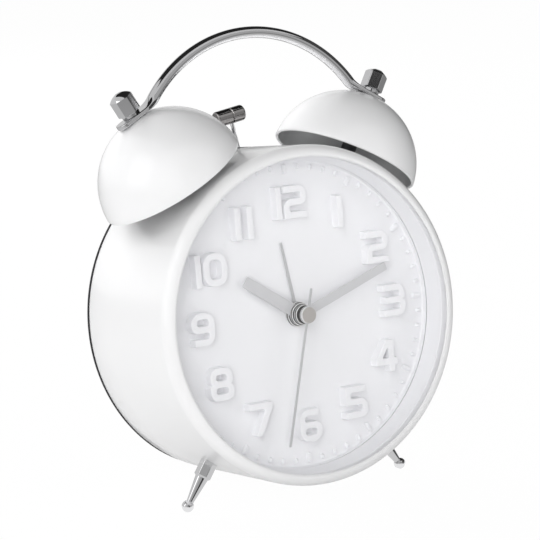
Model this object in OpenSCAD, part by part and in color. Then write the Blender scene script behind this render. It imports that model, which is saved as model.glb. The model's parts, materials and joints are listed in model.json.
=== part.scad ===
// Twin-bell alarm clock that leans back on two ball feet and the lower rear edge of its drum.
// Most pieces are drawn in the clock's own frame: Y runs along the drum's axis from the front
// lip to the back, X is to the right seen from the front and Z is up. The leaned() module then
// tilts the clock back and stands it on the table at Z = 0.

/* [Case] */
// Outside radius of the drum
drum_r = 50; // [48:0.5:54]
// Length of the drum's side, from the front lip to its rear edge
drum_len = 48.7; // [48:0.1:56]
// Wall of the drum
drum_wall = 0.9; // [0.6:0.1:1.2]
// Outside radius of the bend that turns the drum's front edge inwards
lip_r = 3.3; // [3:0.1:3.6]
// Depth of the clear lens behind the front edge
lens_y = 1.75; // [1.6:0.05:2]
// Thickness of the lens
lens_t = 1.4; // [1:0.1:2.4]
// Depth of the white ring between lens and dial
spacer_len = 6.7; // [6:0.1:9]
// Width of that ring at the lens
spacer_w = 2.4; // [1.8:0.1:3]
// How much further in the ring reaches at the dial
spacer_flare = 0.95; // [0.4:0.05:1.6]

/* [Dial] */
// Thickness of the dial
dial_t = 1; // [0.8:0.1:1.6]
// Depth of the dial's dish below its rim
dish_depth = 2; // [1.6:0.1:2.6]
// Radius of the cove between floor and rim
dish_cove = 0.6; // [0.3:0.1:0.9]
// Height of the numerals
numeral_h = 9.8; // [8:0.1:11]
// Width of a round digit
numeral_w = 8; // [6.5:0.1:8.6]
// Stroke of the digits
numeral_stroke = 2.1; // [1.6:0.1:2.3]
// Relief of the numerals above the dial's floor
numeral_relief = 3; // [1.5:0.1:3.2]
// Distance from the dial's rim in to the centres of the numerals
numeral_inset = 12.3; // [12:0.1:14]
// Length of a five-minute mark
mark_len = 3; // [2:0.1:3.6]
// Width of a five-minute mark
mark_w = 1.2; // [0.8:0.1:1.6]
// Length of a minute mark
minor_len = 1.6; // [1:0.1:2]
// Width of a minute mark
minor_w = 0.8; // [0.5:0.1:1.2]
// Relief of the marks
mark_relief = 1.2; // [0.6:0.1:1.5]
// Gap between the dial's rim and the marks
mark_gap = 1; // [0.7:0.1:1.6]

/* [Hands] */
// Reach of the hour hand
hour_len = 21.3; // [16:0.1:24]
// Width of the hour hand at its end
hour_w = 3.4; // [2.4:0.1:4]
// Direction of the hour hand, clockwise from twelve
hour_angle = 303.9; // [0:0.1:360]
// Reach of the minute hand
minute_len = 32.4; // [26:0.1:38]
// Width of the minute hand at its end
minute_w = 2.5; // [1.6:0.1:3]
// Direction of the minute hand
minute_angle = 70.5; // [0:0.1:360]
// Reach of the second hand
second_len = 39.1; // [32:0.1:42]
// Width of the second hand
second_w = 0.7; // [0.5:0.05:1]
// Tail of the second hand
second_tail = 7.9; // [5:0.1:12]
// Direction of the second hand
second_angle = 194.8; // [0:0.1:360]
// Reach of the alarm hand
alarm_len = 21.9; // [16:0.1:24]
// Width of the alarm hand
alarm_w = 0.7; // [0.6:0.05:1.2]
// Direction of the alarm hand
alarm_angle = 350.9; // [0:0.1:360]
// Thickness of the hands' sheet
hand_t = 0.35; // [0.25:0.05:0.45]
// Radius of the alarm hand's hub, the widest
hub_r = 3.75; // [3.5:0.05:4]
// Height of each hand's hub
hub_h = 0.9; // [0.8:0.05:1]
// Height of the second hand's hub, which sits behind its hand
second_hub_h = 1.2; // [1:0.1:1.3]
// Radius of the second hand's cap
cap_r = 2.45; // [2:0.05:2.8]
// Height of the second hand's cap
cap_h = 0.6; // [0.5:0.05:0.8]

/* [Bells and handle] */
// Radius of a bell's rim
bell_r = 22.5; // [20:0.1:23.4]
// Height of a bell, rim to crown
bell_h = 21.2; // [19:0.1:22.4]
// Wall of a bell
bell_wall = 0.9; // [0.7:0.1:1.3]
// Angle round the drum from twelve to the middle of a bell's rim
bell_spread = 34.9; // [34:0.1:38]
// Tilt of a bell's axis from upright
bell_tilt = 30.6; // [29:0.1:35]
// Height of the rim's middle above the drum
bell_rise = 2.9; // [2.2:0.1:5]
// Depth of the bells' middle behind the front lip
bell_y = 25.1; // [24.5:0.1:28]
// Radius of the post inside a bell
post_r = 2.3; // [2:0.1:3]
// Radius of the studs' thread
thread_r = 1.5; // [1.2:0.1:1.6]
// Radius of the handle's rod
rod_r = 1.75; // [1.4:0.05:2]
// Height of the rod's crest above its two ends
handle_rise = 18.8; // [15:0.1:24]
// Thickness of the handle's flattened ends
tab_t = 1.4; // [1:0.1:1.8]
// Half width of the flattened ends
tab_r = 2.9; // [2.4:0.1:3.4]
// Length of a flattened end, from its hole to the rod
tab_len = 7; // [6:0.1:8]
// Length of a flattened end past its hole, to the middle of its round
tab_over = 1.5; // [0.5:0.1:2.5]
// Height of the acorn nuts
nut_h = 8.5; // [8:0.1:10]
// Radius of the acorn nuts over their corners
nut_r = 3.6; // [3.2:0.1:4]
// Height of the round neck under an acorn nut
nut_neck = 1.6; // [0.8:0.1:2]

/* [Feet] */
// Angle round the drum from six to a foot
foot_angle = 35.8; // [30:0.1:42]
// Depth of the feet behind the front lip
foot_y = 20.5; // [17:0.1:22]
// Length of a foot, from the drum to the middle of its ball
foot_len = 14.4; // [12:0.1:18]
// Radius of a foot's ball
ball_r = 1.8; // [1.5:0.1:2.4]
// Length of a foot's hex collar
collar_len = 5.2; // [3:0.1:6]
// Radius of the hex collar over its corners
collar_r = 2.6; // [2.3:0.1:3]
// Radius of the shank at the collar
shank_r = 1.95; // [1.5:0.05:2.1]
// Radius of the shank at the ball
ankle_r = 1.05; // [0.8:0.05:1.3]

/* [Hammer] */
// Depth of the hammer's plane behind the front lip
hammer_y = 33; // [32:0.1:34]
// Distance of the hammer's pivot below the drum's top
pivot_drop = 14; // [12:0.1:14.5]
// Distance from the pivot to the middle of the head
hammer_len = 24.2; // [23:0.1:25]
// Lean of the hammer to the left at rest
hammer_lean = 9.5; // [6:0.1:12]
// Radius of the hammer's head
head_r = 2.15; // [1.8:0.05:2.4]
// Length of the head left of its wire
head_left = 5.4; // [4:0.1:5.8]
// Length of the head right of its wire
head_right = 4.2; // [2.5:0.1:4.5]
// Radius of the hammer's wire
wire_r = 0.6; // [0.4:0.05:0.8]
// Half length of the slot in the drum
slot_half = 9; // [8:0.1:11]
// Width of the slot in the drum
slot_w = 5.4; // [4:0.1:6]

/* [Back] */
// Thickness of the back cover
cover_t = 2.6; // [2.4:0.1:3.2]
// Thickness of the cover's rim behind the drum
cover_rim = 1.6; // [1.2:0.1:2]
// Rounding of the cover's rear edge
cover_edge = 0.5; // [0.2:0.1:0.8]
// Depth of the cover's collar inside the drum
collar_depth = 5; // [3:0.1:8]
// Radius of the setting knobs
knob_r = 7; // [5:0.1:8]
// Height of the setting knobs
knob_h = 5.4; // [4:0.1:5.6]
// Travel of the alarm switch
switch_travel = 5; // [3:0.1:6]
// Diameter of the battery
cell_d = 14.2; // [13.8:0.1:14.5]
// Length of the battery with its nub
cell_len = 50; // [49.2:0.1:50.5]

/* [Movement] */
// Width of the movement
movement_w = 56; // [54:0.5:60]
// Height of the movement
movement_h = 52; // [51:0.5:54]
// Depth of the movement
movement_d = 17; // [16.6:0.1:17.6]
// Wall of the movement's housing
housing_wall = 1.2; // [1:0.1:1.4]
// Tooth size of the minute pinion and motion wheel
tooth_m = 0.5; // [0.48:0.01:0.52]
// Radius of the second hand's arbor
arbor_r = 0.45; // [0.4:0.01:0.5]
// Wall of the three pipes
pipe_wall = 0.45; // [0.4:0.01:0.5]

/* [Hidden] */
$fn = 72;
// Gap between pieces stacked face to face
seat = 0.05;
// Gap round a turning shaft
run_gap = 0.05;
// Gap round a pressed or threaded shaft
grip_gap = 0.01;
// Gap round a piece that drops in
drop_gap = 0.2;
// Gap between pieces that move past each other
clear_gap = 0.35;
// Overlap that joins the solids of one piece
weld = 0.2;
// Length that cuts right through a wall
through = 8;
// Depth by which a solid starts inside a round piece before it is trimmed to it
root = 1;

// Places along the drum's axis
bore_r = drum_r - drum_wall;
insert_r = bore_r - drop_gap;
// The lens rests against the inside of the bend
lens_r = drum_r - lip_r + sqrt(pow(lip_r - drum_wall, 2) - pow(lip_r - lens_y, 2)) - drop_gap;
spacer_y = lens_y + lens_t + seat;
rim_y = spacer_y + spacer_len + seat;
floor_y = rim_y + dish_depth;
dial_back = floor_y + dial_t;
rim_r = insert_r - spacer_w - spacer_flare;
cover_y = drum_len + seat;
cover_back = cover_y + cover_rim;
cover_front = cover_back - cover_t;

// Hands, from the dial to the lens
alarm_y = floor_y - clear_gap - hand_t;
hour_y = alarm_y - hub_h - clear_gap - hand_t;
minute_y = hour_y - hub_h - clear_gap - hand_t;
second_y = minute_y - hub_h - clear_gap - second_hub_h - hand_t;
minute_in = arbor_r + run_gap;
hour_in = minute_in + pipe_wall + run_gap;
alarm_in = hour_in + pipe_wall + run_gap;
minute_pipe_r = minute_in + pipe_wall;
hour_pipe_r = hour_in + pipe_wall;
alarm_pipe_r = alarm_in + pipe_wall;
neck_wall = 0.5;
// How much smaller each hub is than the one behind it
hub_step = 0.4;
// How much wider the second hand's eye is than its cap
eye_edge = 0.18;
// How much wider a hand is at its eye than at its end
hand_taper = 0.3;

// Digits: corner radii, and the places of bars and ends as shares of width and height
loop_r = 3.5;
bowl_r = 2.6;
counter_r = 0.6;
digit_gap = 0.6;
lower_bowl = 0.62;
four_bar = 0.22;
four_stem = 0.86;
four_apex = 0.5;
four_counter = 0.3;
five_top = 0.94;
six_end = 0.88;
seven_foot = 0.2;
seven_slant = 1.15;
eight_top = 0.94;

// Teeth, in tooth sizes, and half their angle at the pitch line in degrees times the tooth count
addendum = 0.8;
dedendum = 1.2;
tooth_half = 86;
tooth_slope = 20;

// Train: tooth counts and layers behind the dial
layer = 0.8;
layer_gap = 0.6;
layer_step = layer + layer_gap;
plate_gap = 0.4;
pinion_teeth = 12;
motion_teeth = 36;
motion_pinion_teeth = 10;
hour_teeth = 40;
set_teeth = 12;
alarm_teeth = 48;
leaf_teeth = 8;
centre_teeth = 64;
third_teeth = 60;
motion_dist = tooth_m * (pinion_teeth + motion_teeth) / 2;
hour_m = 2 * motion_dist / (motion_pinion_teeth + hour_teeth);
set_dist = tooth_m * (motion_teeth + set_teeth) / 2;
alarm_dist = tooth_m * (alarm_teeth + set_teeth) / 2;
leaf_m = tooth_m / 2;
third_dist = leaf_m * (leaf_teeth + centre_teeth) / 2;
fine_m = 2 * third_dist / (leaf_teeth + third_teeth);
stud_r = 0.5;
pivot_r = 0.32;
set_r = 1;
// The time shaft sits level with the centre, at the alarm shaft's distance
motion_dir = -acos((alarm_dist * alarm_dist + motion_dist * motion_dist - set_dist * set_dist)
                   / (2 * alarm_dist * motion_dist));
motion_at = motion_dist * [cos(motion_dir), sin(motion_dir)];
time_at = [alarm_dist, 0];
alarm_at = [-alarm_dist, 0];
third_dir = 120;
third_at = third_dist * [cos(third_dir), sin(third_dir)];
housing_y = dial_back + seat;
plate_back = housing_y + housing_wall;
alarm_layer = plate_back + plate_gap;
hour_layer = alarm_layer + layer_step;
motion_layer = hour_layer + layer_step;
centre_layer = motion_layer + layer_step;
third_layer = centre_layer + layer_step;
bridge_y = third_layer + layer_step + plate_gap;
bridge_t = 1;
housing_back = housing_y + movement_d;
// Pillars between front plate and bridge
pillar_r = 1.6;
pillar_inset = 5;
pillar_at = [movement_w / 2 - pillar_inset, movement_h / 2 - pillar_inset];
// Motor: lamination, window for the coil, bobbin
stator_t = 1;
stator_w = 20;
stator_margin = 3;
leg_h = 2.6;
window_h = 5.2;
yoke_h = 1.7;
// How far the lamination reaches under the bridge
bridge_lap = 5.5;
stator_z = -movement_h / 2 + stator_margin;
winding_r = 2.4;
flange_r = 2.9;
flange_t = 0.6;
// Board and crystal
board_t = 1;
board_w = 24;
board_low = 5;
board_margin = 3;
board_y = housing_back - housing_wall - seat - board_t;
crystal_r = 1;
crystal_len = 6;
crystal_x = 4;
// Turn of each wheel that puts its teeth in mesh
motion_turn = motion_dir + 180 + 180 / motion_teeth;
set_dir = atan2(time_at[1] - motion_at[1], time_at[0] - motion_at[0]);
set_turn = set_dir + 180 + 180 / set_teeth + (set_dir - motion_turn) * motion_teeth / set_teeth;

// Bells, handle and hammer
bell_at = (drum_r + bell_rise) * [sin(bell_spread), cos(bell_spread)];
bell_axis = [sin(bell_tilt), cos(bell_tilt)];
bell_ball = (bell_r * bell_r + bell_h * bell_h) / (2 * bell_h);
tab_y = bell_h + tab_t / 2;
tab_end = bell_at + tab_y * bell_axis + tab_len * [-bell_axis[1], bell_axis[0]];
arc_r = (tab_end[0] * tab_end[0] + handle_rise * handle_rise) / (2 * handle_rise);
arc_half = asin(tab_end[0] / arc_r);
arc_z = tab_end[1] + handle_rise - arc_r;
nut_seat = bell_h + tab_t + seat;
// How far the rod swells where it is bent and flattened
knuckle = 0.12;
// Where a bell's axis meets the drum, measured along the axis from the rim
axis_dot = bell_at * bell_axis;
post_foot = -axis_dot + sqrt(axis_dot * axis_dot - bell_at * bell_at + drum_r * drum_r);
// Length of a stud's end past its nut
stud_end = 1;
inner_nut_t = 2.2;
inner_nut_r = 2.9;
nut_drop = 1.3;
// Shape of an acorn nut: radius of its dome and of its neck
nut_dome = nut_r + 1.4;
neck_share = 0.76;
pivot_z = drum_r - pivot_drop;
bracket_z = movement_h / 2 + seat;
bracket_t = 1;
cheek_gap = 0.6;
lever_t = 3.4;
stem_r = 1.5;
stem_len = 5;
wire_seat = 1.2;
tail_w = 2;
lever_hub_r = 2.2;
pin_r = 0.75;
// Room for tail, magnet and coil, from the pivot down to the bracket's base
striker_room = pivot_z - bracket_z - bracket_t;
magnet_t = 1.2;
socket_wall = 0.3;
socket_r = min(1.9, (striker_room - clear_gap - pin_r - seat) / 2);
magnet_r = socket_r - socket_wall;
tail_len = min(5, striker_room - clear_gap - socket_r);
coil_gap = 0.6;
coil_t = 2.6;
coil_r = min(3.8, tail_len - pin_r - seat, striker_room - tail_len - seat);
coil_bore = min(1.2, coil_r / 2);
cheek_half = 5;
cheek_top = 2.6;
bracket_margin = 3;
bracket_screw_x = 9;
bracket_screw_y = housing_back - 5;
cheek_front = hammer_y - lever_t / 2 - cheek_gap - bracket_t;
coil_y = hammer_y + lever_t / 2 + coil_gap;
cheek_back = coil_y + coil_t + seat;

// Back: posts, screws, knobs, battery bay
screw_r = 1.2;
screw_head_r = 2.7;
screw_head_h = 1.6;
screw_len = 10;
boss_r = 3;
collar_wall = 1.4;
boss_ring = insert_r - collar_wall - drop_gap - boss_r;
boss_angles = [0, 180, 270];
ear_r = 3.2;
ear_x = movement_w / 2 + ear_r;
ear_rise = 4;
ear_y = plate_back + ear_rise;
ear_t = 1.6;
small_screw_r = 0.9;
small_head_r = 1.7;
small_head_h = 1.1;
small_screw_len = 4;
knob_y = cover_back + clear_gap;
neck_r = 2.4;
flutes = 20;
flute_r = 0.55;
flute_start = 1;
bay_wall = 1.2;
door_t = 1.5;
contact_t = 0.4;
contact_h = 2.4;
// Radii of the raised middles of the contacts, at the plate and at the cell
plus_r = [2.6, 2];
minus_r = [4.4, 2.6];
nub_r = 2.6;
nub_h = 1.5;
bay_half = cell_len / 2 + contact_h + contact_t + seat;
bay_slack = 0.5;
bay_h = cell_d / 2 + bay_slack;
bay_rise = 23;
bay_z = -(drum_r - bay_rise);
bay_front = cover_back - door_t - clear_gap - cell_d - seat - bay_wall;
cell_y = bay_front + bay_wall + cell_d / 2 + seat;
door_lap = 0.5;
pin_back = 1.3;
door_pin_r = 0.6;
door_pin_len = 1.4;
notch_r = 3;
door_half = bay_half + door_lap - clear_gap;
door_low = bay_z - bay_h;
door_pin_z = door_low + door_pin_r;
door_swing = norm([pin_back, door_pin_r]) + clear_gap;
switch_x = -switch_travel / 2;
switch_drop = 11;
switch_z = movement_h / 2 - switch_drop;
switch_stem_r = 1.3;
switch_w = 6;
switch_h = 5;
switch_cap = 2.2;
switch_foot = 1;
switch_rib = 0.7;

// Lean and standing place
ball_at = [foot_y, -(drum_r + foot_len) * cos(foot_angle)];
heel_at = [cover_back - cover_edge, -(drum_r - drop_gap - cover_edge)];
edge_at = [drum_len, -drum_r];
// Lean at which a rounded edge behind the feet comes down to the table
function lean_on(at, r) =
  atan2(at[1] - ball_at[1], at[0] - ball_at[0]) + asin((ball_r - r) / norm(at - ball_at));
lean = min(lean_on(heel_at, cover_edge), lean_on(edge_at, 0));
stand_z = ball_r - (ball_at[1] * cos(lean) - ball_at[0] * sin(lean));
front_edge = lip_r * cos(lean) - (drum_r - lip_r) * sin(lean) - lip_r;
cover_top = heel_at[0] * cos(lean) - heel_at[1] * sin(lean) + cover_edge;
knob_top = (knob_y + knob_h) * cos(lean) + knob_r * sin(lean);
stand_y = -(front_edge + max(cover_top, knob_top)) / 2;

// Colours as the photo shows them
lacquer = "white";
chrome = "silver";
satin = "gainsboro";
black = "#202022";
steel = "lightslategray";
brass = "goldenrod";

// Tilts the clock back and stands it on the table
module leaned() {
  translate([0, stand_y, stand_z])
    rotate([-lean, 0, 0])
      children();
}

// Turns a profile of radius and depth round the drum's axis
module turned() {
  rotate([-90, 0, 0])
    rotate_extrude()
      children();
}

// Extrudes a shape seen from the front, from a front face back by a depth
module facing(y, depth) {
  translate([0, y + depth, 0])
    rotate([90, 0, 0])
      linear_extrude(depth)
        children();
}

// Solid or bored cylinder along the drum's axis, at a place seen from the front
module rod_y(at, y0, y1, r, bore = 0) {
  facing(y0, y1 - y0)
    translate(at)
      difference() {
        circle(r);
        if (bore > 0) circle(bore);
      }
}

// Frame of a bell: Z along its axis, with the middle of the rim at the origin
module at_bell(side) {
  translate([side * bell_at[0], bell_y, bell_at[1]])
    rotate([0, side * bell_tilt, 0])
      children();
}

// Frame of a foot: Z outwards, with the drum's axis at the origin
module at_foot(side) {
  translate([0, foot_y, 0])
    rotate([0, side * (180 - foot_angle), 0])
      children();
}

// Frame of the hammer: Z along the wire, with the pivot at the origin
module at_hammer() {
  translate([0, hammer_y, pivot_z])
    rotate([0, -hammer_lean, 0])
      children();
}

// Involute-like wheel with slack between the teeth
function flank(m, teeth, k) =
  let (r = m * teeth / 2,
       half = tooth_half / teeth,
       slope = tooth_slope / teeth)
  [[r - dedendum * m, half + 2 * slope],
   [r - m / 2, half + slope],
   [r, half],
   [r + m / 2, half - slope],
   [r + addendum * m, half - 2 * slope]][k];

function polar(r, a) = [r * cos(a), r * sin(a)];

module wheel_outline(m, teeth) {
  steps = 4;
  polygon([for (t = [0:teeth - 1], side = [-1, 1], k = [0:steps])
             let (p = flank(m, teeth, side < 0 ? k : steps - k))
             polar(p[0], 360 * t / teeth + side * p[1])]);
}

module wheel(at, y, m, teeth, turn, bore, depth = layer) {
  facing(y, depth)
    translate(at)
      difference() {
        rotate(turn) wheel_outline(m, teeth);
        if (bore > 0) circle(bore, $fn = 48);
      }
}

// Hex nut along Z with a threaded hole
module hex_nut(z, r, t, bore) {
  translate([0, 0, z])
    difference() {
      cylinder(t, r, r, $fn = 6);
      translate([0, 0, -weld]) cylinder(t + 2 * weld, bore, bore);
    }
}

// Rounded rectangle with its lower left corner at the origin
module round_box(w, h, r) {
  translate([r, 0]) square([w - 2 * r, h]);
  translate([0, r]) square([w, h - 2 * r]);
  for (x = [r, w - r], y = [r, h - r])
    translate([x, y]) circle(r, $fn = 40);
}

// Closed loop of the digits' stroke
module digit_loop(w, h, r) {
  s = numeral_stroke;
  difference() {
    round_box(w, h, r);
    translate([s, s])
      round_box(w - 2 * s, h - 2 * s, min(max(counter_r, r - s), (h - 2 * s) / 2 - seat));
  }
}

// Half loops of 2, 3 and 5: a bowl that is open to the left, with square ends
module open_bowl(w, h, r) {
  s = numeral_stroke;
  difference() {
    union() {
      digit_loop(w, h, r);
      for (y = [0, h - s]) translate([0, y]) square([w / 2, s]);
    }
    translate([-weld, s]) square([1.5 * s, h - 2 * s]);
  }
}

// Digits with their lower left corner at the origin
module digit(n) {
  w = numeral_w;
  h = numeral_h;
  s = numeral_stroke;
  half = (h + s) / 2;
  low = lower_bowl * h;
  bar = four_bar * h;
  stem = four_stem * w;
  foot = seven_foot * w;
  if (n == 0) digit_loop(w, h, loop_r);
  if (n == 1) square([s, h]);
  if (n == 2) {
    translate([0, h - half]) open_bowl(w, half, bowl_r);
    translate([w, half]) rotate(180) open_bowl(w, half, bowl_r);
  }
  if (n == 3) {
    open_bowl(w, half, bowl_r);
    translate([0, h - half]) open_bowl(w, half, bowl_r);
  }
  if (n == 4) {
    difference() {
      polygon([[0, bar], [0, bar + s], [four_apex * w, h], [stem, h], [stem, bar]]);
      polygon([[four_counter * w, bar + s], [stem - s, bar + s], [stem - s, h - s]]);
    }
    translate([stem - s, 0]) square([s, h]);
    translate([0, bar]) square([w, s]);
  }
  if (n == 5) {
    open_bowl(w, low, bowl_r);
    translate([0, h - s]) square([five_top * w, s]);
    translate([0, low - s]) square([s, h - low + s]);
  }
  if (n == 6) {
    digit_loop(w, low, bowl_r);
    difference() {
      digit_loop(w, h, loop_r);
      translate([s, low - s]) square([w, h - low]);
      translate([six_end * w, low]) square([w, h]);
    }
  }
  if (n == 7) {
    translate([0, h - s]) square([w, s]);
    polygon([[foot, 0], [foot + seven_slant * s, 0], [w, h - s], [w - seven_slant * s, h - s]]);
  }
  if (n == 8) {
    digit_loop(w, half, bowl_r);
    translate([(1 - eight_top) / 2 * w, h - half]) digit_loop(eight_top * w, half, bowl_r);
  }
  if (n == 9) translate([w, h]) rotate(180) digit(6);
}

function digit_width(n) = n == 1 ? numeral_stroke : numeral_w;

// Outline of an hour's numeral, centred
module numeral(hour) {
  tens = floor(hour / 10);
  ones = hour % 10;
  gap = hour == 11 ? numeral_stroke : digit_gap;
  lead = tens > 0 ? digit_width(tens) + gap : 0;
  total = lead + digit_width(ones);
  translate([-total / 2, -numeral_h / 2]) {
    if (tens > 0) digit(tens);
    translate([lead, 0]) digit(ones);
  }
}

// White drum with its front edge turned in, and holes for bells, feet and hammer
module drum_case() {
  color(lacquer) leaned() difference() {
    turned() {
      translate([bore_r, lip_r]) square([drum_wall, drum_len - lip_r]);
      intersection() {
        translate([drum_r - lip_r, lip_r]) difference() {
          circle(lip_r);
          circle(lip_r - drum_wall);
        }
        translate([drum_r - lip_r, 0]) square([lip_r, lip_r + grip_gap]);
      }
    }
    for (side = [-1, 1]) {
      at_bell(side)
        translate([0, 0, post_foot - through / 2])
          cylinder(through, thread_r + run_gap, thread_r + run_gap);
      at_foot(side)
        translate([0, 0, drum_r - through / 2])
          cylinder(through, thread_r + run_gap, thread_r + run_gap);
    }
    translate([-slot_half, hammer_y - slot_w / 3, drum_r - through])
      cube([2 * slot_half, slot_w, 2 * through]);
  }
}

module lens() {
  color("lightcyan", 0.3) leaned() rod_y([0, 0], lens_y, lens_y + lens_t, lens_r);
}

// White ring that holds lens and dial apart
module spacer_ring() {
  color(lacquer) leaned() turned()
    polygon([[insert_r - spacer_w, spacer_y], [insert_r, spacer_y],
             [insert_r, spacer_y + spacer_len], [rim_r, spacer_y + spacer_len]]);
}

// Dished dial with moulded marks, posts for the back screws and bosses for the movement
module dial() {
  color(lacquer) leaned() {
    turned() difference() {
      translate([alarm_pipe_r + clear_gap, rim_y])
        square([insert_r - alarm_pipe_r - clear_gap, dial_back - rim_y]);
      square([rim_r - dish_cove, floor_y]);
      square([rim_r, floor_y - dish_cove]);
      translate([rim_r - dish_cove, floor_y - dish_cove]) circle(dish_cove);
    }
    for (i = [0:59])
      facing(floor_y - mark_relief, mark_relief + weld)
        rotate(-6 * i)
          translate([0, rim_r - mark_gap])
            mirror([0, 1])
              translate([-(i % 5 == 0 ? mark_w : minor_w) / 2, 0])
                square(i % 5 == 0 ? [mark_w, mark_len] : [minor_w, minor_len]);
    for (a = boss_angles)
      difference() {
        rod_y(polar(boss_ring, a), dial_back - weld, cover_front - seat, boss_r);
        rod_y(polar(boss_ring, a), cover_front - screw_len, cover_front, screw_r + grip_gap);
      }
    for (side = [-1, 1])
      difference() {
        rod_y([side * ear_x, 0], dial_back - weld, ear_y - seat, ear_r - clear_gap);
        rod_y([side * ear_x, 0], ear_y - small_screw_len, ear_y, small_screw_r + grip_gap);
      }
  }
}

// Raised numerals that stand on the dial's floor
module hour_numerals() {
  color(lacquer) leaned()
    for (hour = [1:12])
      facing(floor_y - numeral_relief, numeral_relief - grip_gap)
        translate((rim_r - numeral_inset) * [sin(30 * hour), cos(30 * hour)])
          numeral(hour);
}

// Stamped hand: a bar that widens a little to its eye
module hand_blade(y, angle, reach, tip_w, root_w, tail, eye_r, neck_r) {
  difference() {
    union() {
      rod_y([0, 0], y, y + hand_t, eye_r);
      facing(y, hand_t)
        rotate(-angle)
          polygon([[-tip_w / 2, reach], [tip_w / 2, reach], [root_w / 2, -tail],
                   [-root_w / 2, -tail]]);
    }
    rod_y([0, 0], y - weld, y + hand_t + weld, neck_r + grip_gap);
  }
}

module alarm_hand() {
  color(satin) leaned()
    hand_blade(alarm_y, alarm_angle, alarm_len, alarm_w, alarm_w + hand_taper, 0,
               hub_r, alarm_pipe_r + neck_wall);
}

module hour_hand() {
  color(satin) leaned()
    hand_blade(hour_y, hour_angle, hour_len, hour_w, hour_w + hand_taper, 0,
               hub_r - hub_step, hour_pipe_r + neck_wall);
}

module minute_hand() {
  color(satin) leaned()
    hand_blade(minute_y, minute_angle, minute_len, minute_w, minute_w + hand_taper, 0,
               hub_r - 2 * hub_step, minute_pipe_r + neck_wall);
}

module second_hand() {
  color(satin) leaned()
    hand_blade(second_y, second_angle, second_len, second_w, second_w, second_tail,
               cap_r + eye_edge, arbor_r + neck_wall);
}

// Turned hub with a neck that goes through the hand, pressed on its pipe
module hub(y, r, bore, neck) {
  rod_y([0, 0], y - hub_h, y, r, bore + grip_gap);
  rod_y([0, 0], y - weld, y + hand_t, neck, bore + grip_gap);
}

module alarm_hub() {
  color(chrome) leaned()
    hub(alarm_y, hub_r, alarm_pipe_r, alarm_pipe_r + neck_wall);
}

module hour_hub() {
  color(chrome) leaned()
    hub(hour_y, hub_r - hub_step, hour_pipe_r, hour_pipe_r + neck_wall);
}

module minute_hub() {
  color(chrome) leaned()
    hub(minute_y, hub_r - 2 * hub_step, minute_pipe_r, minute_pipe_r + neck_wall);
}

// Hub of the second hand: its neck goes forwards through the hand
module second_hub() {
  color(chrome) leaned() {
    rod_y([0, 0], second_y + hand_t, second_y + hand_t + second_hub_h, cap_r - eye_edge,
          arbor_r + grip_gap);
    rod_y([0, 0], second_y, second_y + hand_t + weld, arbor_r + neck_wall, arbor_r + grip_gap);
  }
}

// Cap on the second hand, bored from behind for the arbor
module second_cap() {
  color(chrome) leaned() difference() {
    rod_y([0, 0], second_y - seat - cap_h, second_y - seat, cap_r);
    rod_y([0, 0], second_y - cap_h / 2, second_y, arbor_r + grip_gap);
  }
}

module second_arbor() {
  color(brass) leaned() {
    rod_y([0, 0], second_y - cap_h / 2 + seat, bridge_y + bridge_t, arbor_r);
    wheel([0, 0], third_layer, fine_m, leaf_teeth, third_dir, 0);
  }
}

// Minute pipe with the minute pinion and the centre wheel
module minute_pipe() {
  color(brass) leaned() {
    rod_y([0, 0], minute_y - hub_h, centre_layer + layer, minute_pipe_r, minute_in);
    wheel([0, 0], motion_layer, tooth_m, pinion_teeth, motion_dir, minute_pipe_r - pipe_wall / 2);
    wheel([0, 0], centre_layer, leaf_m, centre_teeth, third_dir, minute_pipe_r - pipe_wall / 2);
  }
}

module hour_pipe() {
  color(brass) leaned() {
    rod_y([0, 0], hour_y - hub_h, hour_layer + layer, hour_pipe_r, hour_in);
    wheel([0, 0], hour_layer, hour_m, hour_teeth, motion_dir + 180 / hour_teeth,
          hour_pipe_r - pipe_wall / 2);
  }
}

module alarm_pipe() {
  color(brass) leaned() {
    rod_y([0, 0], alarm_y - hub_h, alarm_layer + layer, alarm_pipe_r, alarm_in);
    wheel([0, 0], alarm_layer, tooth_m, alarm_teeth, 180, alarm_pipe_r - pipe_wall / 2);
  }
}

// Motion wheel and its pinion, which drives the hour pipe
module motion_wheel() {
  color(brass) leaned() {
    wheel(motion_at, motion_layer, tooth_m, motion_teeth, motion_turn, stud_r + run_gap);
    wheel(motion_at, hour_layer, hour_m, motion_pinion_teeth, motion_dir + 180, stud_r + run_gap,
          motion_layer - hour_layer + weld);
  }
}

// Third wheel and its pinion, between the centre wheel and the second arbor
module third_wheel() {
  color(brass) leaned() {
    wheel(third_at, third_layer, fine_m, third_teeth, third_dir + 180 + 180 / third_teeth,
          pivot_r + run_gap);
    wheel(third_at, centre_layer, leaf_m, leaf_teeth, third_dir + 180 + 180 / leaf_teeth,
          pivot_r + run_gap, third_layer - centre_layer + weld);
  }
}

// Setting shaft with its pinion, from the front plate to the knob
module setting_shaft(at, y, turn) {
  rod_y(at, housing_y + seat, knob_y + knob_h / 2, set_r);
  wheel(at, y, tooth_m, set_teeth, turn, 0);
}

module time_set_shaft() {
  color(satin) leaned() setting_shaft(time_at, motion_layer, set_turn);
}

module alarm_set_shaft() {
  color(satin) leaned() setting_shaft(alarm_at, alarm_layer, 180 / set_teeth);
}

// Knob with a fluted rim and a neck through the back cover
module setting_knob(at) {
  difference() {
    union() {
      rod_y(at, knob_y, knob_y + knob_h, knob_r);
      rod_y(at, cover_front - clear_gap, knob_y + weld, neck_r);
    }
    rod_y(at, cover_front - root, knob_y + knob_h / 2 + seat, set_r + grip_gap);
    for (i = [0:flutes - 1])
      rod_y(at + polar(knob_r + flute_r / 3, 360 * i / flutes), knob_y + flute_start,
            knob_y + knob_h + weld, flute_r);
  }
}

module time_set_knob() {
  color(black) leaned() setting_knob(time_at);
}

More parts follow.
